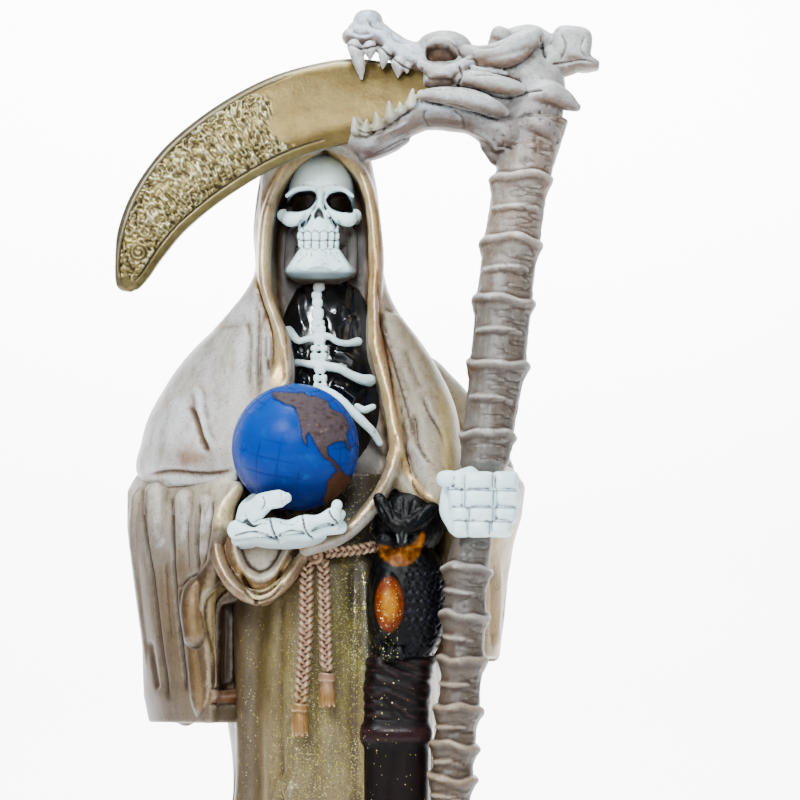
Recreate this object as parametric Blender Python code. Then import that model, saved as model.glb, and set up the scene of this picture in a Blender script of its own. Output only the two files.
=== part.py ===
"""A hooded skeleton figure in a robe, cast in resin: it holds a globe and a scythe, and an owl sits by its side.

Left and right are as seen from the front."""

import math

import bmesh
import bpy
import numpy as np
from mathutils import Euler, Vector

# Driving sizes, in metres. The carving is laid out in millimetres of a 0.592 m statue and grows with FIGURE_HEIGHT.
FIGURE_HEIGHT = 0.592
BASE_WIDTH = 0.204
BASE_DEPTH = 0.152
BASE_HEIGHT = 0.024
GLOBE_RADIUS = 0.0300
GRIP_RADIUS = 0.0095  # the plain round stretch of the staff inside the fist
SOCKET_DEPTH = 0.012  # how deep the staff's foot stands in the base
CLEARANCE = 0.0004  # gap between two castings where they touch

SHARE = FIGURE_HEIGHT / 0.592
MM = 0.001 * SHARE

# Mesh budgets, in triangles
FIGURE_FACES = 6400
SCYTHE_FACES = 3000


# The front sheet: the carving as drawn by a viewer about a metre away who looks up a little
EYE = (39.0, -1050.0, 262.0)
LOOK_UP = math.radians(8)
SHEET_MIDDLE, SHEET_FOCUS = 400.0, 2100.0


def front(u, v, y):
    """The point at depth y under u (to the right) and v (down) on the front sheet."""
    right, down = (u - SHEET_MIDDLE) / SHEET_FOCUS, (v - SHEET_MIDDLE) / SHEET_FOCUS
    way = np.array([right, math.cos(LOOK_UP) + down * math.sin(LOOK_UP),
                    math.sin(LOOK_UP) - down * math.cos(LOOK_UP)])
    return np.array(EYE) + way * (y - EYE[1]) / way[1]


def clear_scene():
    for item in list(bpy.data.objects):
        bpy.data.objects.remove(item, do_unlink=True)


def material(name, colour, roughness, metallic=0.0):
    made = bpy.data.materials.new(name)
    made.use_nodes = True
    shader = made.node_tree.nodes["Principled BSDF"]
    shader.inputs["Base Color"].default_value = (*colour, 1.0)
    shader.inputs["Roughness"].default_value = roughness
    shader.inputs["Metallic"].default_value = metallic
    return made


def smooth_path(points, count):
    """Even samples of a Catmull-Rom curve through rows of numbers."""
    rows = np.array(points, float)
    padded = np.vstack([2 * rows[0] - rows[1], rows, 2 * rows[-1] - rows[-2]])
    fine = []
    for a, b, c, d in zip(padded, padded[1:], padded[2:], padded[3:]):
        for t in np.linspace(0, 1, 12, endpoint=False):
            fine.append(0.5 * (2 * b + (c - a) * t + (2 * a - 5 * b + 4 * c - d) * t**2
                               + (3 * b - a - 3 * c + d) * t**3))
    fine = np.array([*fine, rows[-1]])
    steps = np.linalg.norm(np.diff(fine[:, :3], axis=0), axis=1)
    along = np.concatenate([[0], np.cumsum(steps)])
    wanted = np.linspace(0, along[-1], count)
    return np.stack([np.interp(wanted, along, column) for column in fine.T], axis=1)


class Clay:
    """A heap of closed shapes, in millimetres, that becomes one skin."""

    def __init__(self):
        self.points, self.faces = [], []

    def loft(self, loops):
        """Closed loops with the same number of points, joined and capped."""
        start, sides = len(self.points), len(loops[0])
        grid = np.array([[tuple(p) for p in loop] for loop in loops], float)
        spin = np.cross(grid - grid.mean(axis=1, keepdims=True), np.roll(grid, -1, axis=1) - grid.mean(axis=1,
                                                                                                       keepdims=True))
        ahead = np.gradient(grid.mean(axis=1), axis=0)
        if (spin.sum(axis=1) * ahead).sum() < 0:
            loops = loops[::-1]
        for loop in loops:
            self.points.extend(tuple(map(float, p)) for p in loop)
        for r in range(len(loops) - 1):
            for s in range(sides):
                a, b = start + r * sides + s, start + r * sides + (s + 1) % sides
                self.faces.append((a, b, b + sides, a + sides))
        last = start + (len(loops) - 1) * sides
        self.faces.append(tuple(range(start, start + sides))[::-1])
        self.faces.append(tuple(range(last, last + sides)))

    def tube(self, rows, sides=14, count=None, wide=1.0, across=(1, 0, 0), square=2.0, flat_ends=False):
        """A round bar along rows of x, y, z, radius. wide stretches it along the vector across."""
        path = smooth_path(rows, count or 6 * len(rows))
        spots, radii = path[:, :3], np.maximum(path[:, 3], 0.05)
        ways = np.gradient(spots, axis=0)
        ways /= np.linalg.norm(ways, axis=1)[:, None]
        loops = []
        for cap in (-1, 1):
            at = 0 if cap < 0 else -1
            turns = np.linspace(80, 15, 5) if cap < 0 else np.linspace(15, 80, 5)
            ends = []
            for turn in np.radians(turns):
                spot = spots[at] + cap * ways[at] * radii[at] * math.sin(turn)
                ends.append((spot, ways[at], radii[at] * math.cos(turn)))
            loops.append(ends)
        run = list(zip(spots, ways, radii))
        if not flat_ends:
            run = loops[0] + run + loops[1]
        rings = []
        angles = np.linspace(0, 2 * math.pi, sides, endpoint=False)
        for spot, way, radius in run:
            side = np.array(across, float)
            side -= way * (side @ way)
            side /= np.linalg.norm(side)
            up = np.cross(way, side)
            c, s = np.cos(angles), np.sin(angles)
            c = np.sign(c) * np.abs(c) ** (2 / square)
            s = np.sign(s) * np.abs(s) ** (2 / square)
            rings.append(spot + radius * (wide * c[:, None] * side + s[:, None] * up))
        self.loft(rings)

    def ball(self, centre, radii, turn=(0, 0, 0), sides=16, square=2.0):
        """An ellipsoid; turn is in degrees about x, y and z."""
        spin = Euler([math.radians(t) for t in turn]).to_matrix()
        loops = []
        for lat in np.radians(np.linspace(-84, 84, sides // 2 + 1)):
            loop = []
            for lon in np.linspace(0, 2 * math.pi, sides, endpoint=False):
                ways = (math.cos(lat) * math.cos(lon), math.cos(lat) * math.sin(lon), math.sin(lat))
                flat = Vector([r * math.copysign(abs(w) ** (2 / square), w) for r, w in zip(radii, ways)])
                loop.append(tuple(Vector(centre) + spin @ flat))
            loops.append(loop)
        self.loft(loops)

    def cast(self, name, voxel, paint, rounds=2):
        """One skin around the whole heap, in metres."""
        mesh = bpy.data.meshes.new(name)
        mesh.from_pydata([tuple(MM * v for v in p) for p in self.points], [], self.faces)
        made = bpy.data.objects.new(name, mesh)
        bpy.context.scene.collection.objects.link(made)
        if voxel:
            remesh = made.modifiers.new("skin", "REMESH")
            remesh.mode = "VOXEL"
            remesh.voxel_size = voxel * MM
            if rounds:
                relax = made.modifiers.new("relax", "SMOOTH")
                relax.factor, relax.iterations = 0.5, rounds
            settle(made)
        made.data.materials.clear()
        made.data.materials.append(paint)
        return made


def settle(item):
    """Applies the modifiers."""
    graph = bpy.context.evaluated_depsgraph_get()
    mesh = bpy.data.meshes.new_from_object(item.evaluated_get(graph))
    item.modifiers.clear()
    old, item.data = item.data, mesh
    bpy.data.meshes.remove(old)


def points_of(item):
    flat = np.empty(3 * len(item.data.vertices), np.float64)
    item.data.vertices.foreach_get("co", flat)
    return flat.reshape(-1, 3) / MM


def normals_of(item):
    flat = np.empty(3 * len(item.data.vertices), np.float64)
    item.data.vertex_normals.foreach_get("vector", flat)
    return flat.reshape(-1, 3)


def put_points(item, points):
    item.data.vertices.foreach_set("co", (points * MM).ravel())
    item.data.update()


def near_path(points, rows):
    """Distance of each point from the path through rows of x, z, seen from the front, and how far along it is."""
    best, share = np.full(len(points), 1e9), np.zeros(len(points))
    flat = points[:, [0, 2]]
    for i, (a, b) in enumerate(zip(rows, rows[1:])):
        way = b - a
        t = np.clip(((flat - a) @ way) / max(way @ way, 1e-9), 0, 1)
        far = np.linalg.norm(flat - a - t[:, None] * way, axis=1)
        closer = far < best
        best[closer], share[closer] = far[closer], (i + t[closer]) / (len(rows) - 1)
    return best, share


def stroke(item, rows, width, height, behind=1e3, before=-1e3, facing=0.15):
    """Raises (or with a negative height cuts) the front of the skin along a path of x, z."""
    points, normals = points_of(item), normals_of(item)
    path = smooth_path([(x, z, 0) for x, z in rows], 5 * len(rows))[:, :2]
    far, share = near_path(points, path)
    ends = np.clip(np.minimum(share, 1 - share) * 6 + 0.25, 0, 1)
    push = height * np.exp(-((far / width) ** 2)) * ends
    push *= (normals[:, 1] < -facing) & (points[:, 1] < behind) & (points[:, 1] > before)
    put_points(item, points + normals * push[:, None])


def dent(item, centre, radii, depth, way=(0, 1, 0)):
    """Pushes the skin along way inside an ellipsoid."""
    points = points_of(item)
    far = np.linalg.norm((points - centre) / radii, axis=1)
    push = depth * np.clip(1 - far**2, 0, 1) ** 0.7
    put_points(item, points + np.array(way, float) * push[:, None])


def only_largest(item):
    """Drops loose crumbs and the skins of sealed hollows."""
    mesh = item.data
    edges = np.empty(2 * len(mesh.edges), np.int64)
    mesh.edges.foreach_get("vertices", edges)
    edges = edges.reshape(-1, 2)
    label = np.arange(len(mesh.vertices))
    while True:
        low = np.minimum(label[edges[:, 0]], label[edges[:, 1]])
        before = label.copy()
        np.minimum.at(label, edges[:, 0], low)
        np.minimum.at(label, edges[:, 1], low)
        label = label[label]
        if (label == before).all():
            break
    keep = np.bincount(label).argmax()
    if (label == keep).all():
        return
    shape = bmesh.new()
    shape.from_mesh(mesh)
    shape.verts.ensure_lookup_table()
    bmesh.ops.delete(shape, geom=[v for v in shape.verts if label[v.index] != keep], context="VERTS")
    shape.to_mesh(mesh)
    shape.free()


def thin_out(item, faces):
    """Fewer triangles, most of them where the carving is."""
    triangles = item.modifiers.new("triangles", "TRIANGULATE")
    triangles.quad_method = "SHORTEST_DIAGONAL"
    settle(item)
    fewer = item.modifiers.new("fewer", "DECIMATE")
    fewer.ratio = min(1.0, faces / len(item.data.polygons))
    settle(item)


def cut(item, tool, operation="DIFFERENCE"):
    tool.hide_render = True
    tool.display_type = "WIRE"
    boolean = item.modifiers.new("cut", "BOOLEAN")
    boolean.operation, boolean.object, boolean.solver = operation, tool, "EXACT"
    settle(item)


def block(name, low, high, paint):
    clay = Clay()
    (x0, y0, z0), (x1, y1, z1) = low, high
    clay.loft([[(x0, y0, z), (x1, y0, z), (x1, y1, z), (x0, y1, z)] for z in (z0, z1)])
    return clay.cast(name, 0, paint)


def oval(z, left, right, front, back, square=2.3, sides=48, folds=None, square_front=None):
    """A horizontal loop; folds gives the ripple for each angle, in millimetres. The front half can be squarer."""
    cx, cy, rx, ry = (left + right) / 2, (front + back) / 2, (right - left) / 2, (back - front) / 2
    loop = []
    for turn in np.linspace(0, 2 * math.pi, sides, endpoint=False):
        c, s = math.cos(turn), math.sin(turn)
        grow = folds(turn) if folds else 0.0
        power = 2 / (square_front if square_front and s < 0 else square)
        px = math.copysign(abs(c) ** power, c) * (rx + grow)
        py = math.copysign(abs(s) ** power, s) * (ry + grow)
        loop.append((cx + px, cy + py, z))
    return loop


def ripple(height, waves, phase=0.0, only=None):
    def folds(turn):
        size = height * (math.sin(waves * turn + phase) + 0.4 * math.sin((2 * waves + 1) * turn + 2 * phase))
        return size * (only(turn) if only else 1.0)
    return folds


def back_only(turn):
    """1 at the back of the figure, 0 in front."""
    return max(0.0, math.sin(turn)) ** 0.6


# The staff's axis and its vertebrae, top to bottom: x, y, z
STAFF = [(108, -66, 540), (105, -66, 530), (101, -67, 518), (97, -69, 506), (94.5, -69, 490), (92, -70, 475),
         (88, -72, 446),
         (85, -74, 415), (80, -76, 382), (76, -77, 350), (70, -75, 320), (69, -74, 298), (68, -73, 278),
         (66, -72, 256),
         (64, -71, 239), (63, -70, 224), (60, -68, 190), (57, -66, 150), (55, -65, 100), (53, -64, 50), (52, -64, 12)]
GRIP_CENTRE = 350
GRIP_HALF = 13


def staff_centre(z):
    """The staff's axis at a height."""
    rows = np.array(STAFF)[::-1]
    return np.array([np.interp(z, rows[:, 2], rows[:, 0]), np.interp(z, rows[:, 2], rows[:, 1]), z])


def staff_ring_heights():
    """Heights of the big discs; they close up towards the foot."""
    seen = [506, 475, 446, 415, 382, 320, 298, 278, 256, 239, 224]
    lower = [208 - 16.5 * i for i in range(11)]
    return seen + lower


def staff_radius(z):
    """Radius between the discs, wider at the top."""
    return np.interp(z, [0, 224, 320, 335, 350, 362, 372, 382, 400, 415, 506, 540],
                     [8.6, 8.6, 9.2, 9.2, 9.2, 11.0, 11.6, 12.0, 13.0, 13.6, 13.8, 13.8])


def disc_reach(z):
    """How far the discs stand out: a little at the top, more below the hand."""
    return np.interp(z, [330, 370], [3.4, 1.7])


def staff_rows(step=2.0, discs=True):
    rings = np.array(staff_ring_heights())
    middles = (rings[:-1] + rings[1:]) / 2
    middles = middles[(middles < 340) | (middles > 370)]
    rows = []
    for z in np.arange(SOCKET_FOOT, 532, step):
        radius = staff_radius(z)
        if discs:
            radius += disc_reach(z) * np.exp(-((np.abs(rings - z).min() / 2.0) ** 2))
            radius += 0.5 * disc_reach(z) * np.exp(-((np.abs(middles - z).min() / 1.7) ** 2))
        hold = abs(z - GRIP_CENTRE)
        if hold < GRIP_HALF + 6:
            blend = np.clip((hold - GRIP_HALF) / 6, 0, 1)
            radius = GRIP_RADIUS / MM * (1 - blend) + radius * blend
        rows.append((*staff_centre(z), radius))
    return rows


SOCKET_FOOT = (BASE_HEIGHT - SOCKET_DEPTH) / MM

# The cloak from its peak down: height, left, right, front, back
CLOAK = [(563, -5, 8, -14, 14), (557, -14, 14, -28, 24), (546, -21, 20, -37, 32), (530, -28, 24, -42, 38),
         (510, -32, 28, -44, 42), (490, -34, 29, -45, 43), (470, -33, 31, -46, 43), (458, -38, 34, -47, 43),
         (447, -48, 40, -48, 43), (436, -61, 50, -50, 44), (425, -71, 57, -52, 45), (413, -79, 62, -54, 45),
         (398, -87, 67, -58, 46), (385, -90, 70, -62, 46), (372, -92, 73, -63, 46), (362, -85, 70, -60, 45)]
# The robe under it
ROBE = [(368, -62, 62, -46, 44), (340, -48, 56, -52, 44), (328, -44, 54, -54, 44), (300, -44, 56, -57, 46),
        (250, -42, 60, -58, 50), (211, -42, 62, -59, 54), (160, -50, 67, -61, 58), (110, -58, 73, -63, 61),
        (60, -66, 80, -66, 64), (30, -72, 85, -69, 66), (16, -72, 85, -69, 66)]
RIM_LEFT = [(2, -42, 534), (-15, -43, 521), (-24, -45, 502), (-27, -46, 477), (-25, -48, 452), (-17, -51, 431),
            (-15, -53, 412), (-21, -54, 404), (-31, -56, 388)]
RIM_RIGHT = [(2, -42, 534), (17, -43, 521), (25, -45, 502), (28, -46, 472), (27, -48, 452), (28, -52, 431),
             (32, -56, 414), (36, -60, 396), (38, -64, 377), (35, -66, 365), (27, -70, 350), (13, -73, 336),
             (-5, -74, 329)]
# The left sleeve, seen from above at a few heights: outline from the elbow round the front to the inside
SLEEVE_LEFT = {
    371: [(-93, 8), (-92, -8), (-82, -22), (-68, -30), (-56, -40), (-46, -48), (-42, -46), (-42, -34), (-44, -18),
          (-50, 4), (-62, 20), (-82, 20)],
    362: [(-98, 10), (-97, -10), (-86, -29), (-72, -38), (-58, -49), (-45, -61), (-39, -60), (-40, -40), (-42, -22),
          (-44, 6), (-60, 24), (-85, 24)],
    345: [(-98, 10), (-96, -12), (-86, -34), (-71, -44), (-59, -54), (-49, -67), (-42, -66), (-40, -46), (-40, -26),
          (-40, 8), (-60, 26), (-85, 25)],
    325: [(-95, 10), (-93, -14), (-84, -36), (-70, -47), (-59, -56), (-50, -68), (-44, -66), (-42, -48), (-38, -30),
          (-38, 8), (-60, 27), (-83, 26)],
    305: [(-92, 10), (-90, -14), (-81, -36), (-69, -47), (-60, -54), (-53, -64), (-48, -60), (-50, -44), (-38, -32),
          (-36, 8), (-58, 27), (-80, 26)],
    285: [(-89, 10), (-87, -14), (-78, -36), (-68, -46), (-60, -52), (-52, -60), (-48, -56), (-51, -42), (-38, -31),
          (-36, 8), (-56, 27), (-78, 26)],
    262: [(-88, 10), (-86, -14), (-77, -34), (-66, -44), (-58, -50), (-50, -57), (-46, -53), (-50, -40), (-38, -30),
          (-36, 8), (-55, 27), (-76, 26)],
    249: [(-85, 8), (-83, -14), (-75, -31), (-65, -41), (-58, -47), (-51, -54), (-47, -50), (-50, -39), (-39, -30),
          (-37, 6), (-55, 24), (-74, 24)],
}
SLEEVE_RIGHT = {
    372: [(60, 8), (58, -14), (64, -30), (74, -44), (84, -48), (92, -34), (96, -14), (95, 8), (84, 24), (68, 24)],
    364: [(58, 8), (56, -20), (60, -42), (68, -60), (86, -64), (96, -44), (101, -18), (99, 8), (86, 26), (66, 26)],
    350: [(58, 8), (56, -22), (60, -48), (68, -66), (86, -70), (95, -48), (99, -18), (98, 8), (85, 26), (66, 26)],
    336: [(58, 8), (56, -20), (60, -44), (68, -60), (84, -64), (92, -44), (95, -18), (94, 8), (82, 26), (65, 26)],
    318: [(57, 8), (56, -16), (60, -34), (66, -46), (78, -50), (88, -36), (92, -14), (91, 8), (80, 25), (64, 26)],
    300: [(57, 8), (56, -14), (60, -28), (66, -38), (76, -42), (86, -30), (90, -12), (89, 8), (78, 24), (63, 25)],
    280: [(56, 8), (56, -12), (60, -24), (66, -33), (75, -36), (84, -26), (88, -10), (86, 8), (76, 22), (62, 23)],
}
GLOBE_CENTRE = np.array([-10.0, -72.0, 377.0])


def front_loop(outline, y, grow=0.0, count=60):
    """A closed loop in an upright plane, from x, z points."""
    path = smooth_path([(x, z, 0) for x, z in [*outline, outline[0]]], count + 1)[:-1, :2]
    middle = path.mean(axis=0)
    way = path - middle
    way /= np.linalg.norm(way, axis=1)[:, None]
    return [(x, y, z) for x, z in path + way * grow]


def cloak(clay):
    """The cloak with the tall opening for the face, the chest and the globe."""
    paint = bpy.data.materials.new("guide")
    outer = Clay()
    rows = smooth_path([(z, left, right, front, back) for z, left, right, front, back in CLOAK], 44)
    outer.loft([oval(z, left, right, front, back, 2.2, 72, ripple(1.1, 7, 0.6, back_only) if z < 450 else None,
                     np.interp(z, [400, 440, 456, 535, 563], [2.3, 3.0, 7.0, 7.0, 2.3])) for z, left, right, front,
                back in rows])
    shell = outer.cast("cloak_guide", 0, paint)
    down = [(x, z) for x, _, z in RIM_LEFT] + [(-38, 368), (-34, 352), (-20, 338)]
    up = [(x, z) for x, _, z in RIM_RIGHT[:0:-1]]
    hollow = Clay()
    hollow.loft([front_loop(down + up, y, grow) for y, grow in
                 ((-130, 1), (-50, 0), (-34, -1.5), (-22, -4), (-14, -8))])
    hole = hollow.cast("opening_guide", 0, paint)
    cut(shell, hole)
    bpy.data.objects.remove(hole)
    start = len(clay.points)
    clay.points.extend(tuple(p) for p in points_of(shell))
    clay.faces.extend(tuple(start + v for v in face.vertices) for face in shell.data.polygons)
    bpy.data.objects.remove(shell)
    bpy.data.materials.remove(paint)
    for rim in (RIM_LEFT, RIM_RIGHT):
        clay.tube([(x, y + 4, z, 3.2) for x, y, z in rim], 14, 60, wide=2.0, across=(0, 1, 0))


def robe(clay):
    rows = smooth_path(ROBE, 40)
    clay.loft([oval(z, left, right, front, back, 2.2, 72, ripple(0.6 + 2.6 * max(0.0, (330 - z) / 330) ** 1.2, 9,
                                                                 0.4))
               for z, left, right, front, back in rows])
    # the cloak's long back, over the robe
    rows = smooth_path([(440, -38, 38, 43), (412, -76, 58, 46), (385, -88, 66, 48), (362, -84, 66, 49),
                        (330, -76, 64, 50),
                        (300, -66, 62, 52), (270, -55, 61, 54), (249, -48, 62, 56), (211, -45, 66, 60),
                        (160, -54, 71, 63),
                        (110, -62, 77, 66), (60, -70, 84, 69), (16, -76, 89, 71)], 44)
    clay.loft([oval(z, left, right, -12, edge, 2.6, 72, ripple(1.2 + 3.0 * max(0.0, (430 - z) / 430), 8, 1.1,
                                                               back_only))
               for z, left, right, edge in rows])


def sleeves(clay):
    for levels in (SLEEVE_LEFT, SLEEVE_RIGHT):
        loops = []
        for z in sorted(levels):
            ring = smooth_path([(x, y, 0) for x, y in [*levels[z], levels[z][0]]], 41)[:-1]
            loops.append(ring[:, :2])
        heights = sorted(levels)
        fine = []
        for t in np.linspace(0, len(heights) - 1, 26):
            i = min(int(t), len(heights) - 2)
            mix = loops[i] * (1 - t + i) + loops[i + 1] * (t - i)
            z = heights[i] * (1 - t + i) + heights[i + 1] * (t - i)
            fine.append([(x, y, z) for x, y in mix])
        clay.loft(fine)
    # right upper arm
    clay.tube([(48, 2, 416, 17), (66, 4, 396, 17), (80, 4, 372, 17)], 18, 14)
    # pouch of the left cuff under the hand, with its rolled edge
    clay.ball((-27, -56, 328), (21, 17, 23))
    clay.tube([(-47, -62, 344, 3), (-46, -68, 326, 3.2), (-38, -73, 310, 3.4), (-27, -75, 304, 3.6),
               (-15, -74, 311, 3.4),
               (-7, -72, 325, 3)], 12, 40)
    # lower edge of the cloak over the owl
    clay.tube([(37, -60, 372, 4.5), (42, -62, 360, 5), (50, -64, 353, 5), (58, -62, 352, 5), (66, -52, 354, 5)], 12,
              30)
    fall = [(446, 24, 40, -46, -10), (430, 27, 52, -49, -8), (412, 31, 62, -53, -4), (398, 35, 67, -58, -2),
            (385, 37, 69, -62, -2),
            (372, 38, 70, -66, -6), (362, 40, 69, -70, -14), (354, 46, 65, -73, -30), (350, 52, 60, -71, -46)]
    clay.loft([oval(z, left, right, front_y, back_y, 2.4, 32) for z, left, right, front_y,
               back_y in smooth_path(fall, 26)])


def skull(clay):
    rows = smooth_path([(532, 1.5, -17, -6), (530.6, 7, -24, 4), (527, 11.6, -31, 11), (522.5, 14.8, -35, 15),
                        (517, 16.6, -37.2, 18), (511, 17.3, -38.3, 19),
                        (505, 17.2, -38.2, 19), (499, 16.4, -36.4, 18), (492, 14.6, -32, 16), (485, 12, -26, 12)], 30)
    clay.loft([oval(z, -0.6 - half, -0.6 + half, front_y, back_y, 2.3, 48, None, 2.7) for z, half, front_y,
               back_y in rows])
    for side in (-1, 1):
        # a low brow over each eye, and the plate of the cheekbone
        clay.tube(spots(-38.2, (319.5 + 4 * side, 191, 1.8), (319.5 + 14 * side, 188.5, 2.2),
                        (319.5 + 25 * side, 191, 2.0), (319.5 + 33 * side, 198, 1.6)), 12, 24)
        clay.tube([(*front(u, v, y), r) for u, v, y, r in ((319.5 + 11 * side, 213, -38.5, 1.8),
                                                           (319.5 + 18 * side, 217.5, -38.5, 2.8),
                                                           (319.5 + 27 * side, 220.5, -38.5, 4.0),
                                                         (319.5 + 34 * side, 221.5, -37, 4.4),
                                                           (319.5 + 36.5 * side, 217, -34, 3.2))], 14, 26, wide=1.1)
        x, _, z = front(319.5 + 36 * side, 217, -30)
        clay.tube([(x, -34, z, 3.2), (x + 0.4 * side, -22, z + 1.4, 2.4), (x - 0.5 * side, -8, z + 2, 2.0)], 12, 12)
        # hind part of the lower jaw
        clay.tube([(-0.5 + 15.5 * side, -14, 492, 2.6), (-0.5 + 15.5 * side, -19, 480, 3.0),
                   (-0.5 + 15 * side, -27, 470, 3.2)], 12, 12)
    clay.tube(spots(-40, (319.8, 191, 1.8), (320.2, 199, 1.8), (319.6, 206, 2.2)), 12, 14)
    # upper jaw: a drum that widens down to the teeth
    loops = []
    for v, half, near in ((203, 5, -39.5), (208, 8.5, -40.4), (214, 12.5, -41), (220, 15, -41.2), (226, 17.5, -41.2),
                          (232, 20, -41.2), (240, 20.6, -41), (249, 20, -40.6), (258, 21, -40)):
        x, _, z = front(318.8, v, near)
        half *= 0.487
        loops.append([(x + half * math.cos(t), near + 9 + 9 * math.sin(t), z)
                      for t in np.linspace(0, 2 * math.pi, 28, endpoint=False)])
    clay.loft(loops)
    # lower jaw: a block that flares down to its square corners
    loops = []
    for v, half, near in ((246.5, 19.5, -41.4), (250, 22.5, -41.8), (256, 26.5, -42.4), (262, 30.5, -42.8),
                          (267, 33.4, -42.8), (270.5, 33.6, -41.6), (274, 29, -38.5), (278, 20, -33)):
        x, _, z = front(319, v, near)
        half *= 0.487
        profile = ((-1.0, 9), (-0.99, 4), (-0.88, 1.2), (-0.6, 0.1), (-0.3, -0.5), (0, -0.9), (0.3, -0.5), (0.6, 0.1),
                   (0.88, 1.2), (0.99, 4), (1.0, 9), (0.96, 18), (0.5, 23),
                   (-0.5, 23), (-0.96, 18))
        loops.append([(x + half * a, near + b, z) for a, b in profile])
    clay.loft(loops)
    # neck and chest, deep in the cloak's opening
    clay.tube([(-2, -14, 470, 8), (-2, -12, 440, 8), (-1, -14, 400, 8)], 12, 12, wide=1.3)
    clay.ball((4, -2, 420), (38, 22, 62))


def ribs(clay):
    clay.tube([(-2, -23, 468, 3.2), (-2, -28, 440, 3.4), (-1, -34, 410, 3.6), (0, -38, 386, 3.6)], 10, 30)
    for z in (462, 454, 446, 438, 430, 421, 412, 403, 394):
        clay.ball((-2, -26 - (466 - z) * 0.16, z), (4.6, 3.4, 2.8), sides=12)
    runs = [[(-19, -24, 441), (-9, -29, 438), (-2, -31, 436), (7, -30, 438), (22, -24, 438)],
            [(-18, -26, 424), (-8, -32, 423), (-2, -34, 422), (8, -33, 422), (26, -26, 418)],
            [(2, -36, 410), (13, -36, 403), (22, -33, 394), (30, -27, 384)],
            [(-18, -28, 409), (-8, -35, 407), (0, -38, 404), (12, -37, 392), (22, -34, 380)]]
    for run in runs:
        clay.tube([(x, y, z, 2.3) for x, y, z in run], 10, 24, wide=1.0)


def hands(clay):
    # left: the palm under the globe, four fingers across the front and the thumb
    clay.tube([(-56, -36, 338, 11), (-44, -58, 338, 10), (-32, -74, 337, 8)], 14, 14, wide=1.2, across=(0, 0, 1))
    clay.ball((-14, -78, 338), (24, 16, 8), (0, 0, 0))
    for rows in ([(-37, -80, 339, 5), (-20, -95, 338, 5), (-5, -101, 339, 4.6), (10, -97, 344, 4.3),
                  (13, -90, 351, 3.6)],
                 [(-36, -72, 334, 5), (-18, -86, 332, 4.8), (-1, -92, 334, 4.5), (11, -90, 341, 4),
                  (16, -82, 348, 3.6)],
                 [(-30, -66, 333, 5), (-8, -76, 331, 4.8), (8, -80, 336, 4.4), (17, -76, 344, 3.8)],
                 [(-38, -78, 342, 5), (-26, -92, 344, 5), (-18, -99, 349, 4.6), (-12, -100, 354, 3.8)]):
        clay.tube(rows, 12, 30)
    # right: a fist around the staff
    clay.ball((77, -78, 349), (17.5, 15, 15))
    for z, reach in ((360, 30), (352, 31), (344, 29), (337.5, 26)):
        x0 = 78 - reach / 2
        clay.tube([(x0, -84, z, 3.8), (x0 + 4, -91, z, 4.2), (x0 + reach / 2, -94, z, 4.3),
                   (x0 + reach - 4, -90, z, 4.2),
                   (x0 + reach, -82, z, 3.8)], 12, 26)
    clay.tube([(66, -78, 352, 5), (60, -87, 358, 4.8), (59, -92, 361, 4)], 12, 12)
    clay.tube([(84, -30, 350, 12), (84, -56, 350, 11), (82, -70, 350, 10)], 14, 12)


def owl(clay):
    clay.ball((43, -60, 342), (17, 15, 16))
    clay.ball((41, -58, 306), (17.5, 17, 29))
    clay.ball((34, -66, 304), (9, 11, 19))
    for side in (-1, 1):
        clay.tube([(43, -75, 345, 3.4), (43 + 9 * side, -75, 350, 3.6), (43 + 15 * side, -68, 358, 2.6)], 10, 14)
    clay.tube([(43, -75, 344, 3), (43, -78, 337, 2.2), (43, -76, 332, 1.2)], 10, 10)
    # pedestal: a bound bundle, on a stump that runs down to the base
    rows = [(12, 18, 56, -72, -30), (60, 20, 54, -69, -32), (120, 22, 53, -67, -34), (180, 22, 53, -66, -34),
            (214, 22, 53, -66, -34),
            (238, 22, 53, -66, -34), (241, 20, 55, -68, -34), (247, 20, 55, -68, -34), (250, 22, 53, -66, -34),
            (268, 22, 54, -66, -34),
            (280, 23, 56, -65, -34)]
    fine = [(z, *[np.interp(z, [r[0] for r in rows], [r[k] for r in rows]) for k in range(1, 5)])
            for z in np.linspace(12, 280, 60)]
    clay.loft([oval(z, l, r, f, b, 4.0, 40) for z, l, r, f, b in fine])


def rope(clay):
    clay.tube([(-40, -42, 327, 3), (-26, -54, 327, 3), (-11, -59, 328, 3), (-1, -62, 328, 3), (12, -60, 329, 3),
               (24, -55, 331, 3),
               (36, -46, 332, 3)], 10, 40)
    clay.tube([(-5, -64, 323, 3.2), (-1, -66, 327, 3.6), (3, -64, 323, 3.2)], 10, 10)
    for x0, x1, low, wrap, tail in ((-5, -7, 244, 240, 222), (3, 6, 258, 254, 237)):
        clay.tube([(x0, -64, 324, 2.9), ((x0 + x1) / 2, -65, 290, 2.9), (x1, -66, low, 2.9)], 10, 30)
        clay.ball((x1, -66, wrap), (4.2, 4, 3), sides=12)
        clay.tube([(x1, -66, wrap, 3), (x1, -66.5, (wrap + tail) / 2, 4), (x1, -66, tail, 4.4)], 10, 14)


def base(clay):
    centre_x, centre_y = 5, -6
    half_x, half_y, top = BASE_WIDTH / MM / 2, BASE_DEPTH / MM / 2, BASE_HEIGHT / MM
    loops = []
    for z, inset in ((-4, 0), (0, 0), (top * 0.55, 1.0), (top * 0.85, 3.0), (top, 7.0)):
        def rough(turn, z=z):
            return 1.1 * math.sin(5 * turn + 0.08 * z) + 0.9 * math.sin(11 * turn + 1.3) - 1.6
        loops.append(oval(z, centre_x - half_x + inset, centre_x + half_x - inset, centre_y - half_y + inset,
                          centre_y + half_y - inset, 2.9, 72, rough))
    clay.loft(loops)


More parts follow.
